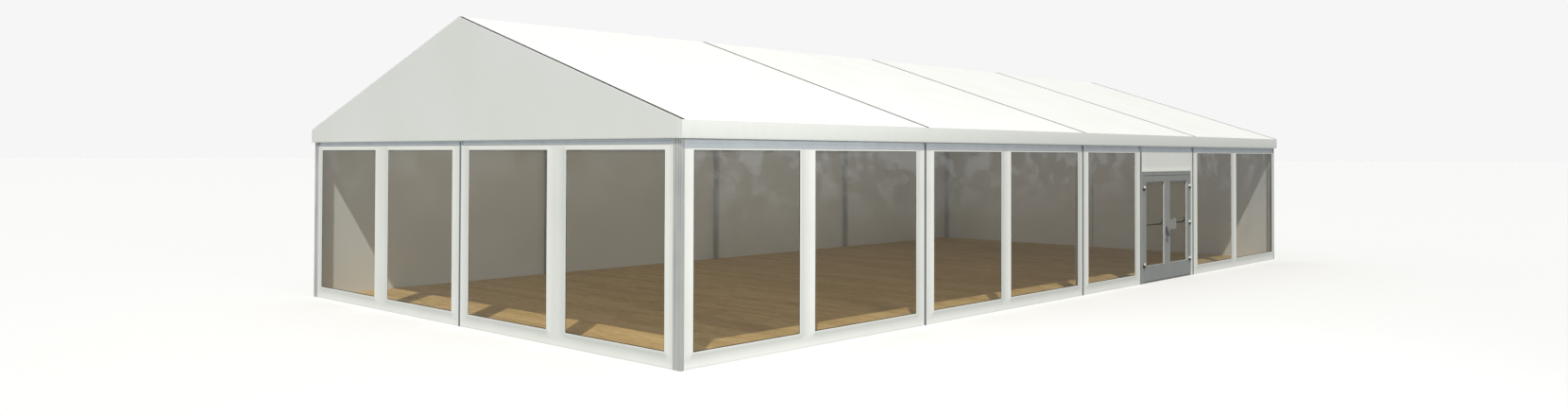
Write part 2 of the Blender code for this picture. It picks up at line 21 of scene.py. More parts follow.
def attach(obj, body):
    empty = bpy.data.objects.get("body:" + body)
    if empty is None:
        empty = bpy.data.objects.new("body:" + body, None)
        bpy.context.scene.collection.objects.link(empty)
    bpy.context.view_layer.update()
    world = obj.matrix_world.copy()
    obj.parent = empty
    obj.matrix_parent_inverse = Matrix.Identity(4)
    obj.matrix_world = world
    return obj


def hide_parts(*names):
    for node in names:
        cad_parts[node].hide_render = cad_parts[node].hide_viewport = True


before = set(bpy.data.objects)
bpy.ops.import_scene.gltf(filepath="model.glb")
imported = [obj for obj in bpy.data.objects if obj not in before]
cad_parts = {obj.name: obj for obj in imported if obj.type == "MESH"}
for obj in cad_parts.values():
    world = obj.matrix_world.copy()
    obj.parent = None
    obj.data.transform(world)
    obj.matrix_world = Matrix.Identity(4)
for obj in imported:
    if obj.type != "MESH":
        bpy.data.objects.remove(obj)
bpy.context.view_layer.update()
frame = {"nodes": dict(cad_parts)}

Array = np.ndarray
Socket = bpy.types.NodeSocket
log = logging.getLogger("marquee")

# Room between pieces that touch
SEAT = 0.0003
# Seed of the random draws for the floor
SEED = 20
# Where the groove for a sheet's edge starts and ends, behind the face
GROOVE = (0.0045, 0.0105)
# Edges sharper than this, in degrees, are shaded sharp, and where a piece has a bevel they get it
SHARP = 32
BEVELLED = 50


def linear(colour: str) -> tuple[float, float, float, float]:
    """Turn an sRGB hex colour into linear light.

    Each channel c becomes c / 12.92 when it is small, else ((c + 0.055) / 1.055) to the power 2.4.

    Args:
        colour: Six hex digits.

    Returns:
        Red, green, blue and an opacity of 1.
    """
    raw = np.array([int(colour[place:place + 2], 16) for place in (0, 2, 4)]) / 255.0
    light = np.where(raw <= 0.04045, raw / 12.92, ((raw + 0.055) / 1.055) ** 2.4)
    return (float(light[0]), float(light[1]), float(light[2]), 1.0)


# Shapes


@dataclass
class Shell:
    """Corner points and faces of a mesh in the making.

    run holds two distances for each point: round the profile and along the path. tone holds one
    number from 0 to 1 for each point.
    """

    points: Array
    faces: list[list[int]]
    run: Array
    tone: Array

    @classmethod
    def of(cls, points: Array, faces: list[list[int]], run: Array) -> Shell:
        """Make a shell whose points all have the middle tone."""
        flat = points.reshape(-1, 3)
        return cls(flat, faces, run.reshape(-1, 2), np.full(len(flat), 0.5))


def joined(shells: Sequence[Shell]) -> Shell:
    """Put several shells into one, with the later ones' corner numbers moved up.

    Args:
        shells: The shells, in order.

    Returns:
        One shell.
    """
    starts = np.cumsum([0] + [len(shell.points) for shell in shells])
    faces = [[corner + int(start) for corner in face]
             for shell, start in zip(shells, starts) for face in shell.faces]
    return Shell(np.concatenate([shell.points for shell in shells]), faces,
                 np.concatenate([shell.run for shell in shells]),
                 np.concatenate([shell.tone for shell in shells]))


def eased(outline: Sequence[tuple[float, float]] | Array, radius: float, steps: int = 2) -> Array:
    """Round every corner of a closed outline.

    At a corner B the curve leaves the two sides at A and C, a radius away from B, and follows
    (1-t)^2 A + 2t(1-t) B + t^2 C.

    Args:
        outline: Corners in order.
        radius: How far from a corner its curve starts.
        steps: Parts that each curve is cut into.

    Returns:
        The rounded outline's points.
    """
    corner = np.asarray(outline, float)
    to_last = np.roll(corner, 1, axis=0) - corner
    to_next = np.roll(corner, -1, axis=0) - corner
    last = np.linalg.norm(to_last, axis=1, keepdims=True)
    after = np.linalg.norm(to_next, axis=1, keepdims=True)
    reach = np.minimum(radius, 0.45 * np.minimum(last, after))
    start = corner + to_last / last * reach
    end = corner + to_next / after * reach
    t = np.linspace(0.0, 1.0, steps + 1).reshape(1, -1, 1)
    curve = ((1 - t) ** 2 * start[:, None] + 2 * t * (1 - t) * corner[:, None]
             + t ** 2 * end[:, None])
    return curve.reshape(-1, 2)


def mirrored(half: Sequence[Sequence[float]] | Array, axis: int, middle: float = 0.0) -> Array:
    """Go on from half an outline or path with its mirror image, in reverse order.

    Args:
        half: Points of the first half.
        axis: The coordinate that changes.
        middle: Where the mirror stands on that axis.

    Returns:
        Twice as many points.
    """
    points = np.asarray(half, float)
    image = points[::-1].copy()
    image[:, axis] = 2 * middle - image[:, axis]
    return np.concatenate([points, image])


def groove(half: float, deep: float) -> list[tuple[float, float]]:
    """Return the corners of a sheet groove in a flank: place across, and depth behind the face."""
    start, end = GROOVE
    return [(half, start), (half - deep, start), (half - deep, end), (half, end)]


def tube(rings: Array, loop: bool = False) -> Shell:
    """Join closed rings of points in order into a closed skin.

    Point (m, n) is joined to (m + 1, n), (m + 1, n + 1) and (m, n + 1), where n wraps round.

    Args:
        rings: Stations by points round each ring by three.
        loop: Whether the last ring joins the first, instead of each end having a cap.

    Returns:
        The skin.
    """
    stations, count, _ = rings.shape
    index = np.arange(stations * count).reshape(stations, count)
    low = index if loop else index[:-1]
    high = np.roll(index, -1, axis=0) if loop else index[1:]
    quads = np.stack([low, high, np.roll(high, -1, axis=1), np.roll(low, -1, axis=1)], axis=-1)
    faces = quads.reshape(-1, 4).tolist()
    if not loop:
        faces += [index[0][::-1].tolist(), index[-1].tolist()]
    section = rings[stations // 2]
    around = np.cumsum(np.linalg.norm(section - np.roll(section, 1, axis=0), axis=1))
    middle = rings.mean(axis=1)
    along = np.cumsum(np.linalg.norm(np.diff(middle, axis=0, prepend=middle[:1]), axis=1))
    return Shell.of(rings, faces, np.stack(np.broadcast_arrays(around, along[:, None]), axis=-1))


def others(axis: int) -> list[int]:
    """Return the two axes that aren't the given one, in order."""
    return [number for number in range(3) if number != axis]


def straight(outline: Array | Sequence[tuple[float, float]], axis: int,
             stations: Sequence[float]) -> Shell:
    """Carry an outline straight along one axis.

    Args:
        outline: Closed outline on the two other axes, in their order.
        axis: 0, 1 or 2 for X, Y or Z.
        stations: Places along that axis, in order.

    Returns:
        A closed prism.
    """
    flat = np.asarray(outline, float)
    rings = np.empty((len(stations), len(flat), 3))
    rings[:, :, axis] = np.asarray(stations, float)[:, None]
    rings[:, :, others(axis)] = flat[None]
    return tube(rings)


def block(low: Sequence[float], high: Sequence[float], radius: float, axis: int = 2) -> Shell:
    """Make a block with its four long edges along one axis rounded.

    Args:
        low: Lowest corner.
        high: Highest corner.
        radius: Size of the rounding.
        axis: The axis that the rounded edges follow.

    Returns:
        A closed block.
    """
    first, second = others(axis)
    outline = [(low[first], low[second]), (high[first], low[second]),
               (high[first], high[second]), (low[first], high[second])]
    return straight(eased(outline, radius), axis, (low[axis], high[axis]))


def turned(profile: Sequence[tuple[float, float]], foot: Sequence[float], axis: int = 0,
           sides: int = 12) -> Shell:
    """Turn a profile of radius and height round a line, as on a lathe.

    A point at turn a is foot + (r cos a, r sin a) across the line and h along it.

    Args:
        profile: Radius and height of each station, from one end to the other.
        foot: The line's start.
        axis: The axis that the line follows.
        sides: Points round each ring.

    Returns:
        A closed solid of revolution.
    """
    radius, height = np.asarray(profile, float).T
    angle = np.linspace(0.0, 2 * math.pi, sides, endpoint=False)
    first, second = others(axis)
    rings = np.empty((len(radius), sides, 3))
    rings[:, :, axis] = foot[axis] + height[:, None]
    rings[:, :, first] = foot[first] + radius[:, None] * np.cos(angle)
    rings[:, :, second] = foot[second] + radius[:, None] * np.sin(angle)
    return tube(rings)


def bent_tube(path: Array, radius: Array, sides: int = 16) -> Shell:
    """Carry a circle along a path.

    Each ring stands square to the path's direction d. With a fixed vector f, its axes are d x f
    and (d x f) x d, and the path is never along f.

    Args:
        path: Points of the path.
        radius: The radius at each point.
        sides: Points round each ring.

    Returns:
        A closed tube.
    """
    fixed = np.array([0.35, 0.0, 0.94])
    along = np.gradient(path, axis=0)
    along /= np.linalg.norm(along, axis=1, keepdims=True)
    side = np.cross(along, fixed)
    side /= np.linalg.norm(side, axis=1, keepdims=True)
    up = np.cross(side, along)
    angle = np.linspace(0.0, 2 * math.pi, sides, endpoint=False)[None, :, None]
    circle = np.cos(angle) * side[:, None] + np.sin(angle) * up[:, None]
    return tube(path[:, None] + radius[:, None, None] * circle)


def picture_frame(section: Sequence[tuple[Sequence[float], float, float]],
                  foot_share: float = 1.0) -> Shell:
    """Make a mitred frame from rectangles in planes of constant X.

    Args:
        section: For each corner round the frame's section, a rectangle (near y, far y, foot z and
            head z), the border that it is grown by, and its x.
        foot_share: 1 when the foot moves out by the border too, or 0 when it stays.

    Returns:
        A closed ring of four mitred members.
    """
    near, far, foot, head = np.array([rectangle for rectangle, _, _ in section]).T
    grow, out = np.array([row[1:] for row in section]).T
    near, far, foot, head = near - grow, far + grow, foot - foot_share * grow, head + grow
    corners = np.stack([np.stack([out, near, foot], -1), np.stack([out, far, foot], -1),
                        np.stack([out, far, head], -1), np.stack([out, near, head], -1)], axis=1)
    return tube(corners, loop=True)


def grid_lines(fixed: Sequence[float], pitch: float) -> Array:
    """Return the fixed lines with even lines put between any two that lie far apart.

    Args:
        fixed: Lines that have to be there.
        pitch: Widest gap allowed.

    Returns:
        All lines in order.
    """
    lines = np.unique(np.round(np.asarray(fixed, float), 6))
    parts = np.maximum(1, np.ceil(np.diff(lines) / pitch - 1e-6)).astype(int)
    spans = [np.linspace(start, end, count, endpoint=False)
             for start, end, count in zip(lines[:-1], lines[1:], parts)]
    return np.concatenate([*spans, lines[-1:]])


def grid_cells(index: Array) -> Array:
    """Return the four corner numbers of each cell, from a grid of point numbers."""
    quads = np.stack([index[:-1, :-1], index[1:, :-1], index[1:, 1:], index[:-1, 1:]], -1)
    return quads.reshape(-1, 4)


def skin(front: Array, back: Array, *run: Array) -> Shell:
    """Make a closed sheet from a front and a back surface on one grid, with walls round the rim.

    Args:
        front: Front points, lines by lines by three.
        back: Back points on the same grid.
        run: The two distances of each grid point.

    Returns:
        The sheet.
    """
    index = np.arange(front[..., 0].size).reshape(front.shape[:2])
    behind = index.size
    cells = grid_cells(index)
    rims = (index[0], index[:, 0][::-1], index[-1][::-1], index[:, -1])
    walls = [np.stack([rim[:-1], rim[1:], rim[1:] + behind, rim[:-1] + behind], -1) for rim in rims]
    faces = np.concatenate([cells, cells[:, ::-1] + behind, *walls])
    return Shell.of(np.stack([front, back]), faces.tolist(), np.stack([np.stack(run, -1)] * 2))


def make_piece(name: str, shell: Shell, finish: bpy.types.Material,
               nodes: Sequence[str] = (), body: str = "hall",
               bevel: float = 0.0) -> bpy.types.Object:
    """Turn a shell into a piece that rides on a body.

    Args:
        name: The piece's name.
        shell: Its closed surface.
        finish: Its material.
        nodes: CAD nodes that it stands for.
        body: The CAD body that it moves with.
        bevel: Width of the bevel on sharp edges, or 0.

    Returns:
        The piece.
    """
    mesh = bpy.data.meshes.new(name)
    mesh.from_pydata(shell.points.tolist(), [], shell.faces)
    run = mesh.attributes.new("run", "FLOAT_VECTOR", "POINT")
    run.data.foreach_set("vector", np.pad(shell.run, ((0, 0), (0, 1))).astype(np.float32).ravel())
    tone = mesh.attributes.new("tone", "FLOAT", "POINT")
    tone.data.foreach_set("value", shell.tone.astype(np.float32))
    work = bmesh.new()
    work.from_mesh(mesh)
    bmesh.ops.remove_doubles(work, verts=work.verts, dist=1e-6)
    bmesh.ops.recalc_face_normals(work, faces=work.faces)
    work.to_mesh(mesh)
    work.free()
    mesh.shade_smooth()
    mesh.set_sharp_from_angle(angle=math.radians(SHARP))
    mesh.materials.append(finish)
    piece = bpy.data.objects.new(name, mesh)
    bpy.context.scene.collection.objects.link(piece)
    if bevel:
        modifier = piece.modifiers.new("rounded edges", "BEVEL")
        modifier.width = bevel
        modifier.segments = 2
        modifier.limit_method = "ANGLE"
        modifier.angle_limit = math.radians(BEVELLED)
        modifier.use_clamp_overlap = True
    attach(piece, body)
    if nodes:
        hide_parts(*nodes)
    log.info("%s: %d faces on %s", name, len(mesh.polygons), body)
    return piece


# Finishes


class Follow(Enum):
    """What a pattern follows on a piece."""

    PLACE = "Object"
    RUN = "run"


class Graph:
    """A node tree, with short ways to add what the finishes share."""

    def __init__(self, tree: bpy.types.NodeTree) -> None:
        """Work on a tree, and on its main shader if it has one."""
        self.tree = tree
        self.shader = tree.nodes.get("Principled BSDF")

    def add(self, kind: str, inputs: dict[str | int, Any] | None = None,
            stops: Sequence[tuple[float, str]] = (), **settings: Any) -> bpy.types.Node:
        """Add a node with its settings, values and links.

        Args:
            kind: The node's type, without its ShaderNode prefix.
            inputs: For each input, a value, or the output that it is linked to.
            stops: Places and hex colours of a colour ramp.
            settings: The node's own settings.

        Returns:
            The node.
        """
        node = self.tree.nodes.new(f"ShaderNode{kind}")
        for key, value in settings.items():
            setattr(node, key, value)
        for key, value in (inputs or {}).items():
            if isinstance(value, Socket):
                self.tree.links.new(value, node.inputs[key])
            else:
                node.inputs[key].default_value = value
        for number, (place, colour) in enumerate(stops):
            ramp = node.color_ramp.elements
            element = ramp[number] if number < 2 else ramp.new(place)
            element.position = place
            element.color = linear(colour)
        return node

    def math(self, operation: str, *values: Socket | float) -> Socket:
        """Return the result of a calculation."""
        return self.add("Math", dict(enumerate(values)), operation=operation).outputs[0]

    def ramp(self, source: Socket, *stops: tuple[float, str]) -> Socket:
        """Return a colour that changes with the source."""
        return self.add("ValToRGB", {0: source}, stops).outputs[0]

    def map(self, source: Socket, *span: float) -> Socket:
        """Return the source with its range span[0:2] mapped to span[2:4], or to 0 to 1."""
        return self.add("MapRange", {0: source, **dict(enumerate(span, 1))}).outputs[0]

    def axes(self) -> Sequence[Socket]:
        """Return the x, y and z of each point in space."""
        return self.add("SeparateXYZ", {0: self.add("TexCoord").outputs["Object"]}).outputs

    def tone(self) -> Socket:
        """Return the tone of each point."""
        return self.add("Attribute", attribute_name="tone").outputs["Fac"]

    def noise(self, follow: Follow, sizes_mm: Sequence[float], detail: float = 3.0) -> Socket:
        """Add a cloudy noise whose spots have real sizes.

        Args:
            follow: Whether it lies in space, or follows the profile and the path.
            sizes_mm: Size of a spot along each axis, in millimetres.
            detail: How much finer noise is laid over it.

        Returns:
            The noise.
        """
        if follow is Follow.PLACE:
            where = self.add("TexCoord").outputs[follow.value]
        else:
            where = self.add("Attribute", attribute_name=follow.value).outputs["Vector"]
        scales = tuple(1000.0 / size for size in sizes_mm)
        scaled = self.add("VectorMath", {0: where, 1: scales}, operation="MULTIPLY").outputs[0]
        return self.add("TexNoise", {"Vector": scaled, "Scale": 1.0, "Detail": detail}).outputs[0]

    def drive(self, **sources: Socket) -> None:
        """Link sources to the shader's inputs of those names, with _ for a space."""
        for name, source in sources.items():
            self.tree.links.new(source, self.shader.inputs[name.replace("_", " ")])

    def relief(self, height: Socket, strength: float, distance: float) -> None:
        """Raise the surface by a height, with a bump of some strength and distance."""
        bump = self.add("Bump", {"Height": height, "Strength": strength, "Distance": distance})
        self.drive(Normal=bump.outputs[0])


@dataclass(frozen=True)
class Finish:
    """What all finishes share: a name, and the values that are the same all over."""

    name: str
    colour: str
    roughness: float = 0.5
    metallic: float = 0.0

    def make(self) -> bpy.types.Material:
        """Set the plain values on the shader, and add the finish's own pattern.

        Returns:
            The material.
        """
        material = bpy.data.materials.new(self.name)
        material.use_nodes = True
        graph = Graph(material.node_tree)
        graph.shader.inputs["Base Color"].default_value = linear(self.colour)
        graph.shader.inputs["Roughness"].default_value = self.roughness
        graph.shader.inputs["Metallic"].default_value = self.metallic
        self.pattern(graph)
        return material

    def pattern(self, graph: Graph) -> None:
        """Add nothing: a plain finish has no pattern."""


@dataclass(frozen=True, kw_only=True)
class CoatedFabric(Finish):
    """PVC-coated polyester: a satin skin over a plain weave, a little cloudy from rain and dust."""

    shade: str
    spot_mm: float = 900.0
    weave_mm: float = 5.0
    lying: bool = False

    def pattern(self, graph: Graph) -> None:
        """Add faint clouds to the colour, and the weave as a shallow relief.

        The real threads are about 1 mm apart. They are drawn 5 mm apart, or they wouldn't show.
        The relief is sin(2 pi u / weave) sin(2 pi v / weave), with u and v along the threads.

        Args:
            graph: The material's nodes.
        """
        clouds = graph.noise(Follow.PLACE, (self.spot_mm,) * 3, 4.0)
        graph.drive(Base_Color=graph.ramp(clouds, (0.30, self.shade), (0.62, self.colour)))
        x, y, z = graph.axes()
        threads = (x, y) if self.lying else (graph.math("ADD", x, y), z)
        turns = 2000.0 * math.pi / self.weave_mm
        waves = [graph.math("SINE", graph.math("MULTIPLY", thread, turns)) for thread in threads]
        graph.relief(graph.math("MULTIPLY", *waves), 0.06, 0.0004)
        graph.shader.inputs["Sheen Weight"].default_value = 0.05


@dataclass(frozen=True, kw_only=True)
class Extrusion(Finish):
    """Mill-finish aluminium extrusion: soft grey metal with fine die lines along its length."""

    shade: str
    lines_mm: tuple[float, float, float] = (4.0, 1800.0, 1000.0)
    patches_mm: tuple[float, float, float] = (260.0, 260.0, 700.0)

    def pattern(self, graph: Graph) -> None:
        """Add die lines to the colour and as relief, and broad patches to colour and gloss.

        Real die lines are about 0.2 mm apart. They are drawn 4 mm apart, so that they show. The
        colour follows the mean of lines and patches.

        Args:
            graph: The material's nodes.
        """
        lines = graph.noise(Follow.RUN, self.lines_mm, 2.0)
        patches = graph.noise(Follow.PLACE, self.patches_mm)
        mean = graph.math("MULTIPLY", graph.math("ADD", lines, patches), 0.5)
        graph.drive(Base_Color=graph.ramp(mean, (0.35, self.shade), (0.62, self.colour)),
                    Roughness=graph.map(patches, 0.3, 0.7, self.roughness - 0.06,
                                        self.roughness + 0.08))
        graph.relief(lines, 0.12, 0.0003)


@dataclass(frozen=True, kw_only=True)
class PowderCoat(Finish):
    """Powder-coated metal: an even colour with a fine orange peel, a little cloudy in its gloss."""

    shade: str
    clouds_mm: tuple[float, float, float] = (180.0, 180.0, 420.0)
    peel_mm: float = 3.0

    def pattern(self, graph: Graph) -> None:
        """Add the peel as relief, and slow changes in colour and gloss.

        Real orange peel is about 1 mm across. It is drawn 3 mm across, so that it shows.

        Args:
            graph: The material's nodes.
        """
        clouds = graph.noise(Follow.PLACE, self.clouds_mm, 4.0)
        graph.drive(Base_Color=graph.ramp(clouds, (0.32, self.shade), (0.6, self.colour)),
                    Roughness=graph.map(clouds, 0.3, 0.7, self.roughness - 0.05,
                                        self.roughness + 0.07))
        graph.relief(graph.noise(Follow.PLACE, (self.peel_mm,) * 3, 1.0), 0.1, 0.0002)


@dataclass(frozen=True, kw_only=True)
class Rubber(Finish):
    """EPDM seal or soft cover strip: matt, with a dusty bloom."""

    shade: str = "2a2a29"
    bloom_mm: tuple[float, float, float] = (35.0, 35.0, 120.0)
    grain_mm: float = 2.0

    def pattern(self, graph: Graph) -> None:
        """Add a cloudy bloom to the colour, and a fine grain as relief.

        Args:
            graph: The material's nodes.
        """
        bloom = graph.noise(Follow.PLACE, self.bloom_mm)
        graph.drive(Base_Color=graph.ramp(bloom, (0.35, self.shade), (0.65, self.colour)))
        graph.relief(graph.noise(Follow.PLACE, (self.grain_mm,) * 3, 1.0), 0.15, 0.0002)


@dataclass(frozen=True, kw_only=True)
class Clear(Finish):
    """Clear film or glass: nearly see-through, with lighter clouds in its upper part that are
    partly milky clouding and partly painted reflection, and a dark band of painted shade where its
    tone marks a window's edge.
    """

    # Lighter grey of the upper clouds: partly milky clouding of the film, partly painted reflection
    haze_and_reflection: str = "b4b7ba"
    cover: float = 0.035
    haze_and_reflection_cover: float = 0.12
    spot_mm: float = 400.0
    haze_and_reflection_from: float = 1.4
    haze_and_reflection_full: float = 2.6
    # Dark colour and cover of the band at each window's edge: painted shade of the sheet's edge
    # over the film
    rim: str = "2c2b28"
    edge_shade_cover: float = 0.45

    def pattern(self, graph: Graph) -> None:
        """Make it clear head on, less so at a slant, cloudy towards the top, and dark at window
        edges.

        Each face hides cover + 0.035 + 0.93 (1 - c)^5 of what is behind it, as clear plastic and
        glass do, where c is the cosine of the slant. The lighter clouds add their own cover times
        the clouds, fading in between their two heights in metres; their lighter grey is partly
        milky clouding of the film and partly painted reflection. Where the tone is more than a
        half, along the weld line, the edge band adds its own cover and is painted dark, as shade of
        the sheet's edge over the film.

        Args:
            graph: The material's nodes.
        """
        clouds = graph.noise(Follow.PLACE, (self.spot_mm, self.spot_mm, self.spot_mm * 0.8), 8.0)
        patches = graph.map(clouds, 0.46, 0.58, 0.45, 1.0)
        rise = graph.map(graph.axes()[2], self.haze_and_reflection_from, self.haze_and_reflection_full)
        # Upper clouds, partly milky clouding and partly painted reflection
        haze_and_reflection = graph.math("MULTIPLY", patches, rise)
        # Band along each window's weld line, which the ramp paints dark as shade
        weld = graph.map(graph.tone(), 0.5, 1.0)
        level = graph.map(graph.math("SUBTRACT", haze_and_reflection, weld), -1.0, 1.0)
        hidden = graph.math("MULTIPLY_ADD", haze_and_reflection, self.haze_and_reflection_cover, self.cover + 0.035)
        hidden = graph.math("MULTIPLY_ADD", weld, self.edge_shade_cover, hidden)
        slant = graph.add("LayerWeight", {"Blend": 0.5}).outputs["Facing"]
        graph.drive(Base_Color=graph.ramp(level, (0.1, self.rim), (0.95, self.haze_and_reflection),
                                          (0.55, self.colour)),
                    Alpha=graph.math("MULTIPLY_ADD", graph.math("POWER", slant, 5.0), 0.93, hidden))
        graph.shader.inputs["IOR"].default_value = 1.45


@dataclass(frozen=True, kw_only=True)
class OakBoards(Finish):
    """Sealed oak boards: long grain along each board, and every board its own tone."""

    pale: str = "e2c692"
    dark: str = "9f8450"
    figure_mm: tuple[float, float, float] = (420.0, 28.0, 1000.0)
    pores_mm: tuple[float, float, float] = (240.0, 12.0, 1000.0)
    tone_share: float = 0.10

    def pattern(self, graph: Graph) -> None:
        """Draw figure and pores along the boards, on each board's tone.

        Oak pores are about 0.3 mm wide. They are drawn 12 mm wide, so that they show. The colour
        follows the mean of figure and pores, plus the tone_share times (tone - 1/2).

        Args:
            graph: The material's nodes.
        """
        figure = graph.noise(Follow.RUN, self.figure_mm)
        pores = graph.noise(Follow.RUN, self.pores_mm, 2.0)
        level = graph.math("MULTIPLY_ADD", graph.tone(), self.tone_share, -self.tone_share / 2)
        for part in (pores, figure):
            level = graph.math("MULTIPLY_ADD", part, 0.5, level)
        graph.drive(Base_Color=graph.ramp(level, (0.34, self.dark), (0.66, self.pale),
                                          (0.5, self.colour)),
                    Roughness=graph.map(pores, 0.3, 0.7, self.roughness + 0.1,
                                        self.roughness - 0.05))
        graph.relief(pores, 0.25, 0.0004)


class Finishes:
    """Every finish of the tent, made once and used by all its pieces."""

    def __init__(self) -> None:
        """Make the materials."""
        self.roof = CoatedFabric("roof cover PVC", "f2f2ee", 0.42, shade="efefea",
                                 lying=True).make()
        self.wall = CoatedFabric("wall sheet PVC", "dee0da", 0.45, shade="d9dbd4").make()
        self.infill = CoatedFabric("gable infill PVC", "dadcd7", 0.48, shade="d6d8d2",
                                   spot_mm=1500.0).make()
        self.fascia = PowderCoat("white coated fascia", "dadcd7", 0.42, shade="d8dad5").make()
        self.profile = Extrusion("mill aluminium profile", "c9cbc7", 0.42, 0.45,
                                 shade="b4b7b4").make()
        # The rails' finish is a lighter, bluer copy of the mill aluminium: painted light, lifting
        # the rails and posts that stand in shade under the fascia and the infill
        self.rail = Extrusion("mill aluminium rail", "e4eaed", 0.40, 0.33, shade="d7dde1").make()
        self.door = PowderCoat("grey coated door profile", "8c8e8b", 0.45, shade="868885").make()
        self.seal = Rubber("black seal", "3a3a38", 0.8).make()
        # Near-black strips across the roof: painted shade of the grooves between covers and along
        # the rakes
        self.seam = Rubber("dark seam strip", "2f3132", 0.7, shade="2a2c2d").make()
        # Grey strips on legs and posts: partly the grey of a cover strip, partly painted shade of
        # the groove line down each
        self.cover = Rubber("grey cover strip", "747678", 0.7, shade="6b6d6f").make()
        # The films' and the glass's lighter clouds are partly painted reflection; the films' edge
        # bands are painted shade
        self.film = Clear("clear PVC film", "85878a", 0.12).make()
        self.gable_film = Clear("clear PVC film of the gable", "85878a", 0.12, haze_and_reflection_cover=0.02,
                                spot_mm=900.0).make()
        self.glass = Clear("door safety glass", "6e706e", 0.04, haze_and_reflection="84878a", cover=0.02,
                           haze_and_reflection_cover=0.03).make()
        self.oak = OakBoards("sealed oak", "caaa6f", 0.5).make()
        self.bead = PowderCoat("pale glazing bead", "b6b8b4", 0.45, shade="aeb0ac").make()
        self.dark = PowderCoat("dark coated tube", "2d2a25", 0.35, shade="25221e").make()
        self.handle = PowderCoat("cast handle grey", "595d69", 0.32, 0.3, shade="4e525e").make()
        self.lock = PowderCoat("lock case grey", "adada6", 0.4, shade="a3a39c").make()


# The tent's pieces


@dataclass(frozen=True)
class Hall:
    """The main sizes of the tent, in metres, and the lines that its pieces share."""

    half_span: float = 5.0
    half_length: float = 10.0
    pitch: float = math.radians(18.1)
    fascia_reach: float = 0.058
    fascia_foot: float = 2.80
    fascia_top: float = 3.026
    gable_reach: float = 0.039
    sheet: float = 0.003
    rail_foot: float = 2.685
    gable_rail_foot: float = 2.733
    rail_top: float = 2.85
    frames: tuple[float, ...] = (-9.97, -5.0, 0.0, 5.0, 9.97)
    half_leg: float = 0.03
    leg_depth: float = 0.14
    half_rib: float = 0.012
    half_post: float = 0.035
    behind_fascia: float = 0.006

    @property
    def outer_side(self) -> float:
        """Half width over the fascias."""
        return self.half_span + self.fascia_reach

    @property
    def outer_end(self) -> float:
        """Half length over the infills of the gables."""
        return self.half_length + self.gable_reach

    @property
    def strip_head(self) -> float:
        """Height of the grey strips on legs and posts, a little under the fascia's foot."""
        return self.fascia_foot - 0.01

    def cover_top(self, across: Array | float) -> Array | float:
        """Height of the top of the roof cover: the ridge, less the distance times the slope."""
        ridge = self.fascia_top + self.outer_side * math.tan(self.pitch)
        return ridge - np.abs(across) * math.tan(self.pitch)

    def under_cover(self, across: Array | float) -> Array | float:
        """Height of the underside of the roof cover, less the room under it."""
        return self.cover_top(across) - self.sheet / math.cos(self.pitch) - SEAT

    def roof_path(self, reach: float, depth: Array, legs: bool) -> tuple[Array, Array]:
        """Give the x and z of a line that lies a depth inside the outer face of the frames.

        Args:
            reach: Half width of the frame's outer face.
            depth: Depth of each line under that face.
            legs: Whether the path goes down to the ground, instead of ending at the eaves.

        Returns:
            The x and the z of each station, stations by lines.
        """
        leg = reach - depth
        drop = depth / math.cos(self.pitch)
        eave, apex = self.under_cover(leg) - drop, self.under_cover(0.0 * leg) - drop
        xs, zs = [-leg, 0.0 * leg, leg], [eave, apex, eave]
        if legs:
            xs = [-leg, *xs, leg]
            zs = [0.0 * leg, *zs, 0.0 * leg]
        return np.stack(xs), np.stack(zs)


@dataclass
class Part:
    """A group of pieces, with the tent's sizes and finishes at hand."""

    hall: Hall
    finishes: Finishes


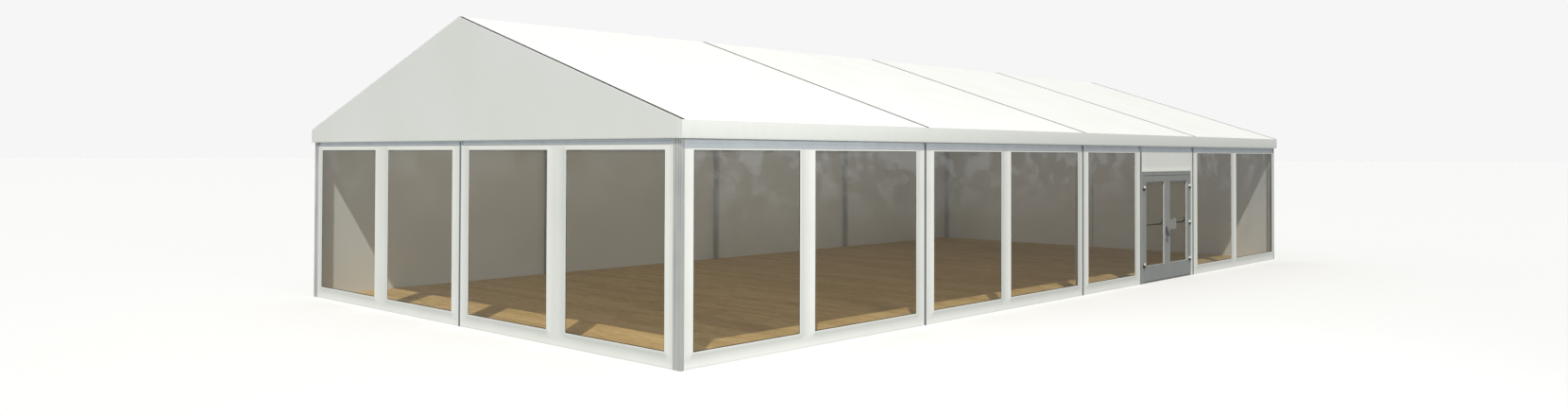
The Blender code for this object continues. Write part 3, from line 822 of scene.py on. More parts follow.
@dataclass
class PortalFrames(Part):
    """Five portal frames: hollow extrusions bent at the eaves and the ridge, with strips on them
    whose dark and grey colours are partly painted shade.
    """

    rib_height: float = 0.0046
    flutes: tuple[float, float] = (0.036, 0.092)
    flute_width: float = 0.014
    flute_depth: float = 0.008
    strip_width: float = 0.058
    strip_foot: float = 0.0036
    strip_top: float = 0.0058
    leg_strip: float = 0.038
    leg_strip_out: tuple[float, float] = (0.0002, 0.0056)

    def profile(self, inner: bool) -> Array:
        """Draw the extrusion, with a groove for the sheets and two flutes on each flank.

        Args:
            inner: Whether it has the rib between two covers.

        Returns:
            Depth and place across of each point.
        """
        half, rib = self.hall.half_leg, self.hall.half_rib
        floor = half - self.flute_depth
        flank = [(half, 0.0), *groove(half, 0.007)]
        for start in self.flutes:
            end = start + self.flute_width
            flank += [(half, start), (floor, start + 0.001), (floor, end - 0.001), (half, end)]
        flank.append((half, self.hall.leg_depth))
        if inner:
            flank = [(rib, -self.rib_height), (rib, 0.0), *flank]
        return eased(mirrored(flank, 0), 0.0014)[:, ::-1]

    def build(self) -> None:
        """Build the frames, and on each the strips over the edges of covers and sheets, whose dark
        and grey colours are partly painted shade.

        A frame's point is at x = reach - depth on the legs, and a depth under the cover's
        underside on the rafters.
        """
        hall = self.hall
        edge = hall.outer_end - self.strip_width / 2
        for number, line in enumerate(hall.frames, start=1):
            inner = abs(line) < edge - 1.0
            section = self.profile(inner)
            xs, zs = hall.roof_path(hall.half_span, section[:, 0], True)
            ys = np.broadcast_to(line + section[:, 1], xs.shape)
            make_piece(f"portal_profile_{number}", tube(np.stack([xs, ys, zs], -1)),
                       self.finishes.profile, [f"portal_frame_{number}"])
            self.build_strip(number, line if inner else math.copysign(edge, line))
            if inner:
                self.build_leg_strips(number, line)

    def build_leg_strips(self, number: int, line: float) -> None:
        """Cover the rib on both legs of an inner frame with a grey strip, up to the fascia. Its
        grey, darker than the aluminium, is partly a cover strip's own colour and partly painted
        shade of the groove down the leg.

        Args:
            number: The frame's number.
            line: The strips' middle along Y.
        """
        hall, half = self.hall, self.leg_strip / 2
        strips = []
        for side in (-1, 1):
            near, far = sorted(side * (hall.half_span + out) for out in self.leg_strip_out)
            strips.append(block((near, line - half, 0.0), (far, line + half, hall.strip_head),
                                0.0016))
        make_piece(f"leg_strips_{number}", joined(strips), self.finishes.cover)

    def build_strip(self, number: int, line: float) -> None:
        """Lay a low dark strip across the roof, from eave to eave. Its near-black colour is painted
        shade: it draws the shaded groove between two covers, and at an end frame the shaded line
        along the rake.

        Args:
            number: The frame's number.
            line: The strip's middle along Y.
        """
        hall, half = self.hall, self.strip_width / 2
        outline = eased([(self.strip_foot, -half), (self.strip_top, 0.002 - half),
                         (self.strip_top, half - 0.002), (self.strip_foot, half)], 0.0008)
        xs, zs = hall.roof_path(hall.outer_side - 0.001, 0.0 * outline[:, 0], False)
        zs = zs + outline[:, 0] / math.cos(hall.pitch)
        ys = np.broadcast_to(line + outline[:, 1], xs.shape)
        make_piece(f"roof_strip_{number}", tube(np.stack([xs, ys, zs], -1)), self.finishes.seam)


@dataclass
class Rails(Part):
    """Eave rails with a keder groove and a stepped face, and the ridge rail."""

    inner: float = 4.934
    outer: float = 4.994
    step: float = 2.744
    ridge_half: float = 0.03
    ridge_top: float = 4.640
    ridge_foot: float = 4.560
    ridge_groove: float = 0.006
    cuts: int = 41

    def build(self) -> None:
        """Carry each rail's section along the whole length, between the end frames."""
        hall, outer = self.hall, self.outer
        end = hall.frames[-1] - hall.half_leg - SEAT
        stations = np.linspace(-end, end, self.cuts)
        foot = hall.rail_foot
        face = [(self.inner, foot), (outer - 0.014, foot), (outer - 0.014, foot + 0.007),
                (outer - 0.005, foot + 0.007), (outer - 0.005, foot), (outer, foot + 0.001),
                (outer - 0.003, self.step), (outer - 0.010, self.step + 0.003),
                (outer - 0.008, hall.rail_top), (self.inner, hall.rail_top)]
        # The eave rails take the lighter, bluer rail finish: painted light for their shaded place
        # under the fascia
        for side, name in ((-1, "left"), (1, "right")):
            outline = eased([(side * x, z) for x, z in face], 0.0012)
            make_piece(f"eave_beam_{name}", straight(outline, 1, stations), self.finishes.rail,
                       [f"eave_rail_{name}"])
        half, deep = self.ridge_half, self.ridge_groove
        middle = (self.ridge_foot + self.ridge_top) / 2
        right = [(half, self.ridge_foot), (half, middle - deep), (half - deep, middle - deep),
                 (half - deep, middle + deep), (half, middle + deep), (half, self.ridge_top)]
        ridge = np.roll(mirrored(right, 0), 1, axis=0)
        make_piece("ridge_purlin", straight(eased(ridge, 0.0015), 1, stations),
                   self.finishes.rail, ["ridge_rail"])


@dataclass
class GableEnds(Part):
    """Middle post, cross rail and white infill of each gable."""

    post_depth: float = 0.06
    flute: tuple[float, float, float] = (0.012, 0.014, 0.004)
    rail_set: float = 0.012
    rail_depth: float = 0.04
    strip: tuple[float, float] = (-0.030, 0.014)
    skin: float = 0.004
    lip: float = 0.02
    dip: float = 0.0025
    rows: int = 16

    def build(self) -> None:
        """Build both gables."""
        for end, name in ((-1, "front"), (1, "back")):
            self.build_frame(end, name)
            self.build_infill(end, name)

    def build_frame(self, end: int, name: str) -> None:
        """Build the post with its fluted face and grooves, the rail with its groove, and a strip.

        Args:
            end: -1 for the front, 1 for the back.
            name: The gable's name.
        """
        hall, out, half = self.hall, self.hall.half_length, self.hall.half_post
        flat, wide, deep = self.flute
        face = [(-wide, 0.0), (-flat, deep), (flat, deep), (wide, 0.0)]
        flank = [(half - 0.002, 0.0), (half, 0.002), *groove(half, 0.007), (half, self.post_depth)]
        outline = np.concatenate([face, mirrored(flank, 0)])
        placed = np.stack([outline[:, 0], end * (out - outline[:, 1])], -1)
        head = float(hall.under_cover(half)) - hall.leg_depth / math.cos(hall.pitch) - SEAT
        post = straight(eased(placed, 0.0012), 2, np.linspace(0.0, head, 10))
        near = out - self.rail_set
        foot = hall.gable_rail_foot
        section = [(near, foot + 0.001), (near - 0.003, foot + 0.034), (near - 0.008, foot + 0.037),
                   (near - 0.006, hall.rail_top), (near - self.rail_depth, hall.rail_top),
                   (near - self.rail_depth, foot), (near - 0.014, foot),
                   (near - 0.014, foot + 0.006), (near - 0.005, foot + 0.006),
                   (near - 0.005, foot)]
        outline = eased([(end * y, z) for y, z in section], 0.0012)
        reach = hall.half_span - hall.leg_depth - SEAT
        rails = [straight(outline, 0, np.linspace(start, stop, 11))
                 for start, stop in ((-reach, -half + 0.001), (half - 0.001, reach))]
        # Post and rail take the lighter rail finish: painted light for the shade under the infill
        make_piece(f"gable_post_and_rail_{name}", joined([post, *rails]), self.finishes.rail,
                   [f"gable_frame_{name}"])
        # A grey strip down the post's face: partly a cover strip, partly painted shade of its
        # groove line
        low, high = sorted((end * (out - 0.005), end * (out + 0.0012)))
        strip = block((self.strip[0], low, 0.0), (self.strip[1], high, hall.strip_head), 0.0012)
        make_piece(f"gable_post_strip_{name}", strip, self.finishes.cover)

    def build_infill(self, end: int, name: str) -> None:
        """Build the infill as a stretched skin with a lip round its edge.

        Its height at x runs from the fascia's foot to the cover's underside. The skin dips inwards
        by the dip times sin(pi s) sin(pi t), where s and t go from 0 to 1 across and up.

        Args:
            end: -1 for the front, 1 for the back.
            name: The gable's name.
        """
        hall = self.hall
        reach = hall.half_span + hall.behind_fascia
        edge = np.array([0.0, 0.003, self.lip, self.lip + 0.0008])
        sides = [sign * (reach - step) for step in edge for sign in (-1, 1)]
        x = grid_lines([*sides, 0.0], 0.16)[:, None]
        rise = np.pad(edge, (0, self.rows + len(edge)))[None]
        fall = rise[:, ::-1]
        share = np.pad(np.linspace(0.0, 1.0, self.rows + 2)[1:-1], len(edge),
                       constant_values=(0.0, 1.0))[None]
        at_foot, at_top = share == 0.0, share == 1.0
        top = hall.under_cover(x)
        low = hall.fascia_foot + edge[-1]
        z = np.where(at_foot, hall.fascia_foot + rise, low + share * (top - edge[-1] - low))
        z = np.minimum(np.where(at_top, top - fall, z), top)
        across = (x + reach) / (2 * reach)
        up = (z - hall.fascia_foot) / (top - hall.fascia_foot)
        dip = self.dip * np.sin(math.pi * across) * np.sin(math.pi * up)
        rim = (np.abs(x) > reach - 0.0015) | (rise + fall < 0.0015) & (at_foot | at_top)
        outer = hall.outer_end
        front_y = outer - dip - np.where(rim, 0.0015, 0.0)
        lipped = ((np.abs(x) > reach - self.lip - 0.0004)
                  | (at_foot & (rise < self.lip + 0.0004))
                  | (at_top & (fall < self.lip + 0.0004)))
        back_y = np.where(lipped, hall.half_length + SEAT, outer - dip - self.skin)
        wide = np.broadcast_to(x, z.shape)
        front = np.stack([wide, end * front_y, z], -1)
        back = np.stack([wide, end * back_y, z], -1)
        make_piece(f"gable_panel_{name}", skin(front, back, wide, z), self.finishes.infill,
                   [f"gable_infill_{name}"])


@dataclass
class RoofCovers(Part):
    """Four bays of the roof cover, each one bent sheet that hangs a little between its frames."""

    sag: float = 0.005
    ridge_round: float = 0.012
    ripple: float = 0.0006
    seam_every: float = 1.25
    seam_half: float = 0.0195
    seam_height: float = 0.0003

    def spans(self) -> list[tuple[float, float]]:
        """Find the bays of the cover, from rib to rib of the inner frames.

        Returns:
            Where each cover starts and ends along Y.
        """
        hall = self.hall
        inner = [line + side * (hall.half_rib + SEAT) for line in hall.frames[1:-1]
                 for side in (-1, 1)]
        lines = [-hall.outer_end, *inner, hall.outer_end]
        return list(zip(lines[::2], lines[1::2]))

    def build(self) -> None:
        """Build the covers.

        The top is at the ridge, less the slope times sqrt(x^2 + r^2) - r/3 or |x|, whichever is
        more. It is lowered by the sag times sin(pi t)^0.8 along the bay and 1 - (2s - 1)^2 up the
        slope. Ripples fade towards the middle of the bay, and the welded seams stand a little
        proud.
        """
        hall = self.hall
        reach = hall.outer_side
        near_ridge = [sign * step for step in (0.0, 0.006, 0.015, 0.03) for sign in (-1, 1)]
        across = np.unique([*np.linspace(-reach, reach, 85), *near_ridge])
        for number, (start, end) in enumerate(self.spans(), start=1):
            seams = np.arange(start + self.seam_every, end - 0.2, self.seam_every)
            steps = [seams + sign * (self.seam_half + step) for sign in (-1, 1)
                     for step in (-0.001, 0.0005)]
            along = grid_lines([start, end, *np.concatenate(steps)], 0.1)
            x, y = np.meshgrid(across, along, indexing="ij")
            t = (y - start) / (end - start)
            s = np.abs(x) / reach
            rounded = np.sqrt(x ** 2 + self.ridge_round ** 2) - self.ridge_round / 3
            top = hall.cover_top(0.0) - np.maximum(rounded, np.abs(x)) * math.tan(hall.pitch)
            hang = self.sag * np.sin(math.pi * t) ** 0.8 * (1 - (2 * s - 1) ** 2)
            nearest = np.minimum(t, 1 - t)
            fade = np.exp(-nearest * 9.0) * np.minimum(1.0, 40 * nearest)
            ripple = self.ripple * fade * np.sin(s * 52.0 + 1.7 * number) * np.sin(math.pi * s)
            weld = np.any(np.abs(y[..., None] - seams) < self.seam_half, axis=-1)
            height = top - hang + ripple
            front = np.stack([x, y, height + weld * self.seam_height - self.seam_height], -1)
            back = np.stack([x, y, height - hall.sheet / math.cos(hall.pitch)], -1)
            piece = make_piece(f"roof_sheet_{number}", skin(front, back, x, y),
                               self.finishes.roof, [f"roof_cover_{number}"])


@dataclass
class Fascias(Part):
    """The white eave bands: shallow pressed trays with a small return at the foot."""

    skin: float = 0.004
    cuts: int = 81

    def build(self) -> None:
        """Carry the tray's section along the eaves, and close its ends with plates."""
        hall, skin = self.hall, self.skin
        outer, end, foot = hall.outer_side, hall.outer_end, hall.fascia_foot
        inner = hall.half_span + hall.behind_fascia + SEAT
        top, inside = float(hall.under_cover(outer)), float(hall.under_cover(inner))
        back = outer - skin - 0.002
        plate = [(inner, foot), (outer - 0.0015, foot), (outer - 0.0015, foot + 0.012),
                 (outer, foot + 0.016), (outer, top), (inner, inside)]
        tray = [*plate, (inner, inside - skin), (back, top - skin), (back, foot + skin),
                (inner, foot + skin)]
        for side, name in ((-1, "left"), (1, "right")):
            shape, lid = (eased([(side * x, z) for x, z in outline], 0.0016)
                          for outline in (tray, plate))
            band = straight(shape, 1, np.linspace(-end + skin, end - skin, self.cuts))
            ends = [straight(lid, 1, (low, low + skin)) for low in (-end, end - skin)]
            make_piece(f"eave_band_{name}", joined([band, *ends]), self.finishes.fascia,
                       [f"eave_fascia_{name}"])


class Facing(Enum):
    """Which wall a sheet stands in: the axis that it faces along, and the way."""

    RIGHT = (0, 1)
    LEFT = (0, -1)
    FRONT = (1, -1)
    BACK = (1, 1)


@dataclass
class WallSheet(Part):
    """One upright sheet, with clear windows welded into it or plain."""

    name: str
    facing: Facing
    span: tuple[float, float]
    head: float
    windows: tuple[tuple[float, float], ...]
    holders: tuple[str, ...]
    window_foot: float = 0.20
    window_head: float = 2.66
    back_set: float = 0.006
    weld: float = 0.040
    weld_height: float = 0.0008
    weld_slope: float = 0.0015
    hem: float = 0.03
    bead: float = 0.009
    bead_height: float = 0.0022
    billow: float = 0.0022
    film: float = 0.002
    film_slack: float = 0.0006
    film_pitch: float = 0.1
    lap: float = 0.03
    # Width of the dark band round each window in the film: painted shade of the sheet's edge
    rim: float = 0.012
    tuck: float = 0.003
    pitch: float = 0.12

    @property
    def ends(self) -> tuple[float, float]:
        """Where the sheet starts and ends, with the tucks that run in the grooves."""
        return self.span[0] - self.tuck, self.span[1] + self.tuck

    def place(self, u: Array, z: Array, out: Array) -> Array:
        """Put points at u along the wall, height z and a distance out from the frames' face.

        Args:
            u: Place along the wall.
            z: Height.
            out: Distance out from the outer face of the frames.

        Returns:
            The points.
        """
        axis, sign = self.facing.value
        face = self.hall.half_span if axis == 0 else self.hall.half_length
        depth = sign * (face + out)
        return np.stack([depth, u, z] if axis == 0 else [u, depth, z], -1)

    def swell(self, u: Array, z: Array) -> Array:
        """Return how far the sheet swells: sin sin over the sheet, broken by slower waves.

        Args:
            u: Place along the wall.
            z: Height.

        Returns:
            The distance out.
        """
        across = np.clip((u - self.span[0]) / (self.span[1] - self.span[0]), 0.0, 1.0)
        up = np.clip(z / self.head, 0.0, 1.0)
        waves = (0.45 + 0.35 * np.sin(2.1 * u + 0.7) * np.cos(1.9 * z + 0.4)
                 + 0.2 * np.sin(5.3 * u + 1.3 * z))
        return self.billow * np.sin(math.pi * across) * np.sin(math.pi * up) * waves

    def strips(self) -> list[tuple[str, float, float, float, float]]:
        """List the rectangles that the sheet is welded from, round its windows.

        An upright of 5 mm or less is left out.

        Returns:
            Name, near and far end along the wall, foot and head of each.
        """
        start, end = self.ends
        if not self.windows:
            return [("sheet", start, end, 0.0, self.head)]
        strips = [("header", start, end, self.window_head, self.head)]
        if self.window_foot > 0.0:
            strips.append(("skirt", start, end, 0.0, self.window_foot))
        edges = [start, *[edge for window in self.windows for edge in window], end]
        strips += [(f"upright_{number}", near, far, self.window_foot, self.window_head)
                   for number, (near, far) in enumerate(zip(edges[::2], edges[1::2]), start=1)
                   if far - near > 0.005]
        return strips

    def build(self, node: str, film_node: str | None = None) -> None:
        """Build the sheet and its film.

        The front follows the swell, plus weld bands round the windows and a round bead down each
        upright edge.

        Args:
            node: The CAD node that the sheet stands for.
            film_node: The CAD node that its clear film stands for.
        """
        start, end = self.ends
        steps = [step for edge in (0.0, 0.0011, 0.0027, 0.0045, 0.0063, 0.0079, self.bead)
                 for step in (start + edge, end - edge)]
        rims = (0.0, self.weld, self.weld + self.weld_slope)
        steps += [side + sign * rim for window in self.windows
                  for side, sign in zip(window, (-1, 1)) for rim in rims]
        levels = [0.0, self.hem, self.hem + self.weld_slope, self.head - 0.012, self.head]
        if self.windows:
            levels += [self.window_foot - rim for rim in rims]
            levels += [self.window_head + rim for rim in rims]
        u_lines = grid_lines([step for step in steps if start <= step <= end], self.pitch)
        z_lines = grid_lines([level for level in levels if 0.0 <= level <= self.head], self.pitch)
        for label, near, far, foot, head in self.strips():
            u, z = np.meshgrid(u_lines[(u_lines > near - 1e-5) & (u_lines < far + 1e-5)],
                               z_lines[(z_lines > foot - 1e-5) & (z_lines < head + 1e-5)],
                               indexing="ij")
            out = self.swell(u, z) - self.back_set
            strip = skin(self.place(u, z, out + self.relief(u, z)),
                         self.place(u, z, out - self.hall.sheet), u, z)
            piece = make_piece(f"{self.name}_{label}", strip, self.finishes.wall,
                               [node])
        if film_node:
            self.build_film(film_node)

    def within(self, u: Array, z: Array, grow: float) -> Array:
        """Tell which points lie in a window that is grown by a border all round.

        Args:
            u: Place along the wall.
            z: Height.
            grow: Width of the border.

        Returns:
            True or false for each point.
        """
        inside = np.zeros(u.shape, bool)
        for left, right in self.windows:
            inside |= ((u > left - grow) & (u < right + grow) & (z > self.window_foot - grow)
                       & (z < self.window_head + grow))
        return inside

    def relief(self, u: Array, z: Array) -> Array:
        """Return the height of the weld bands, the hem at the foot and the edge beads.

        At a distance d from an upright edge, a bead of width b adds its height times
        sqrt(1 - (2d/b - 1)^2).

        Args:
            u: Place along the wall.
            z: Height.

        Returns:
            The height over the plain sheet.
        """
        start, end = self.ends
        halfway = self.weld_slope / 2
        bands = self.within(u, z, self.weld + halfway) | (z < self.hem + halfway)
        distance = np.minimum(u - start, end - u)
        shape = 1 - (2 * np.clip(distance / self.bead, 0.0, 1.0) - 1) ** 2
        return bands * self.weld_height + self.bead_height * np.sqrt(np.clip(shape, 0.0, 1.0))

    def build_film(self, node: str) -> None:
        """Build the clear film behind the windows, a little slacker than the sheet.

        It follows the sheet's swell, less the slack times 1 - sin(5.1 u) sin(4.3 z + 0.5). Its tone
        is 0.5 inside each window, and 1 along the weld line round it and beyond, where the film's
        finish paints a dark band as shade of the sheet's edge.

        Args:
            node: The CAD node that the film stands for.
        """
        left, right = self.windows[0][0] - self.lap, self.windows[-1][1] + self.lap
        foot, head = self.window_foot - self.lap, self.window_head + self.lap / 2
        inset = (self.rim, self.rim + 0.001)
        edges = [edge + sign * step for window in self.windows
                 for edge, sign in zip(window, (1, -1)) for step in inset]
        levels = [level + sign * step for step in inset
                  for level, sign in ((self.window_foot, 1), (self.window_head, -1))]
        u, z = np.meshgrid(grid_lines([left, *edges, right], self.film_pitch),
                           grid_lines([foot, *levels, head], self.film_pitch), indexing="ij")
        slack = self.film_slack * (1 - np.sin(5.1 * u) * np.sin(4.3 * z + 0.5))
        out = self.swell(u, z) - slack - self.back_set - self.hall.sheet - SEAT
        shell = skin(self.place(u, z, out), self.place(u, z, out - self.film), u, z)
        # Tone 1 marks the band that the film's finish paints dark, as shade
        inner = self.within(shell.run[:, 0], shell.run[:, 1], -self.rim - 0.0005)
        shell.tone = np.where(inner, 0.5, 1.0)
        film = self.finishes.gable_film if self.facing is Facing.FRONT else self.finishes.film
        piece = make_piece(f"{self.name}_clear", shell, film, [node])


@dataclass
class Walls(Part):
    """All wall sheets: windows in the front gable and the right side, plain ones opposite."""

    door_edge: float = 2.3847
    gable_windows: tuple[tuple[float, float], ...] = (
        (-4.71, -2.705), (-2.265, -0.248), (0.226, 2.234), (2.67, 4.70))
    side_windows: tuple[tuple[tuple[float, float], ...], ...] = (
        ((-9.786, -7.853), (-7.545, -5.222)), ((-4.76, -2.815), (-2.515, -0.18)),
        ((0.226, 2.18),), ((5.25, 7.21), (7.51, 9.866)))

    def build(self) -> None:
        """Build the sheets of the long sides bay by bay, then those of the gables."""
        hall, finishes = self.hall, self.finishes
        head = hall.rail_foot - SEAT
        for bay, windows in enumerate(self.side_windows):
            start = hall.frames[bay] + hall.half_leg + SEAT
            end = hall.frames[bay + 1] - hall.half_leg - SEAT
            held = (f"portal_profile_{bay + 1}", f"portal_profile_{bay + 2}")
            WallSheet(hall, finishes, f"plain_wall_{bay + 1}", Facing.LEFT, (start, end), head, (),
                      held).build(f"side_wall_{bay + 1}")
            far = self.door_edge if bay == 2 else end
            node = f"window_wall_{bay + 1}"
            WallSheet(hall, finishes, node, Facing.RIGHT, (start, far), head, windows,
                      held).build(node, f"{node}_film")
        near = hall.half_post + SEAT
        reach = hall.half_span - hall.leg_depth - SEAT
        head = hall.gable_rail_foot - SEAT
        for name, span, windows in (("left", (-reach, -near), self.gable_windows[:2]),
                                    ("right", (near, reach), self.gable_windows[2:])):
            node = f"gable_window_wall_{name}"
            WallSheet(hall, finishes, f"gable_window_{name}", Facing.FRONT, span, head, windows,
                      ("gable_post_and_rail_front", "portal_profile_1")).build(node, f"{node}_film")
            WallSheet(hall, finishes, f"gable_plain_{name}", Facing.BACK, span, head, (),
                      ("gable_post_and_rail_back", "portal_profile_5")).build(f"gable_wall_{name}")


@dataclass
class TimberFloor(Part):
    """Oak boards laid across the hall, with narrow edge boards round the legs and posts."""

    thickness: float = 0.022
    board: float = 0.142
    length: float = 1.95
    gap: float = 0.0012
    chamfer: float = 0.0014
    behind_sheets: float = 0.0093
    end_gap: float = 0.0605
    door:tuple[float, float] = (2.3847, 4.8806)
    door_foot: float = 4.9294

    def boards(self) -> Array:
        """Lay out the boards: rows along Y, with end joints staggered at random in each row.

        A board that would be under 10 mm long is left out.

        Returns:
            Low x, high x, low y and high y of each board.
        """
        draw = np.random.default_rng(SEED)
        side = self.hall.half_span - self.hall.leg_depth - 0.001
        end = self.hall.half_length - self.end_gap
        rows = int(round(2 * end / self.board))
        ys = np.linspace(-end, end, rows + 1)
        per_row = int(2 * side / self.length) + 3
        offset = draw.random((rows, 1)) * self.length
        starts = -side - self.length + offset + np.arange(per_row)[None] * self.length
        low = np.clip(starts, -side, side)
        high = np.clip(starts + self.length, -side, side)
        near = np.broadcast_to(ys[:-1, None], low.shape)
        far = np.broadcast_to(ys[1:, None], low.shape)
        field = np.stack([low, high, near, far], -1).reshape(-1, 4)
        field = field[field[:, 1] - field[:, 0] > 0.01]
        return np.concatenate([field, self.edge_boards(side, end)])

    def edge_boards(self, side: float, end: float) -> Array:
        """Lay out the boards between the legs, between the posts and at the door.

        Args:
            side: Half width of the field of boards.
            end: Half length of the field of boards.

        Returns:
            Low x, high x, low y and high y of each board.
        """
        hall = self.hall
        out = hall.half_span - self.behind_sheets
        away = hall.half_length - self.behind_sheets
        leg = hall.half_leg + SEAT
        boards = []
        for low, high in zip(hall.frames[:-1], hall.frames[1:]):
            cuts = np.linspace(low + leg, high - leg, 3)
            spans = list(zip(cuts[:-1], cuts[1:]))
            boards += [(-out, -side, near, far) for near, far in spans]
            if low == 0.0:
                spans = [(low + leg, self.door[0]), (self.door[1], high - leg)]
                boards.append((side, self.door_foot, *self.door))
            boards += [(side, out, near, far) for near, far in spans]
        half, post = side / 2, hall.half_post + SEAT
        for sign in (-1, 1):
            near, far = sorted((sign * end, sign * away))
            boards += [(x, x + half - short, near, far)
                       for x, short in ((-side, 0.0), (-half, post), (post, post), (half, 0.0))]
        return np.array(boards)

    def build(self) -> None:
        """Build all boards as one piece, each a chamfered block with its own tone and grain."""
        boards = self.boards()
        draw = np.random.default_rng(SEED + 1)
        low_x, high_x, low_y, high_y = (boards + np.array([1, -1, 1, -1]) * self.gap / 2).T
        rings = []
        for inset, level in ((0.0, 0.0), (0.0, self.thickness - self.chamfer),
                             (self.chamfer, self.thickness)):
            left, right, near, far = low_x + inset, high_x - inset, low_y + inset, high_y - inset
            rings += [np.stack([x, y, np.full(len(boards), level)], -1)
                      for x, y in ((left, near), (right, near), (right, far), (left, far))]
        points = np.stack(rings, axis=1)
        sides = np.array([(n, (n + 1) % 4, (n + 1) % 4 + 4, n + 4) for n in range(4)])
        pattern = np.concatenate([sides, sides + 4, [(8, 9, 10, 11), (3, 2, 1, 0)]])
        corners = len(rings)
        faces = (pattern + corners * np.arange(len(boards))[:, None, None]).reshape(-1, 4)
        shift = draw.random((len(boards), 1, 2)) * np.array([40.0, 9.0])
        shell = Shell.of(points, faces.tolist(), points[:, :, :2] + shift)
        shell.tone = np.repeat(draw.random(len(boards)), corners)
        make_piece("oak_boards", shell, self.finishes.oak, ["timber_floor"])


@dataclass
class DoorSurround(Part):
    """The post beside the door, and the white sheet over it and beside it."""

    near: float = 2.385
    far: float = 2.485
    depth: float = 0.07
    frame_far: float = 4.8803
    frame_head: float = 2.2773

    def build(self) -> None:
        """Build the post, its grey strip, partly painted shade, and the sheet whose one opening is
        the door frame.
        """
        hall, finishes = self.hall, self.finishes
        out, head = hall.half_span, hall.rail_foot - SEAT
        middle, half = (self.near + self.far) / 2, (self.far - self.near) / 2
        flank = [(half - 0.034, 0.003), (half - 0.030, 0.0), (half - 0.002, 0.0), (half, 0.002),
                 *groove(half, 0.006), (half, self.depth)]
        across, depth = eased(np.roll(mirrored(flank, 0), 3, axis=0), 0.001).T
        shaft = straight(np.stack([out - depth, middle + across], -1), 2, np.linspace(0.0, head, 8))
        tongue = block((out - 0.0057, self.near, hall.rail_foot - 0.001),
                       (out, self.far, hall.rail_top), 0.001)
        make_piece("door_side_post", joined([shaft, tongue]), finishes.profile,
                   ["door_post"])
        # A grey strip down the post's face: partly a cover strip, partly painted shade of its
        # groove line
        strip = block((out - 0.004, self.near + 0.028, 0.0), (out + 0.0014, self.far - 0.030, head),
                      0.0012)
        make_piece("door_post_strip", strip, finishes.cover)
        start, end = self.far + SEAT, hall.frames[3] - hall.half_leg - SEAT
        WallSheet(hall, finishes, "door_surround", Facing.RIGHT, (start, end), head,
                  ((start - 0.003, self.frame_far),), ("door_side_post", "portal_profile_4"),
                  window_foot=0.0, window_head=self.frame_head, weld=0.03,
                  billow=0.0008).build("door_surround_sheet")


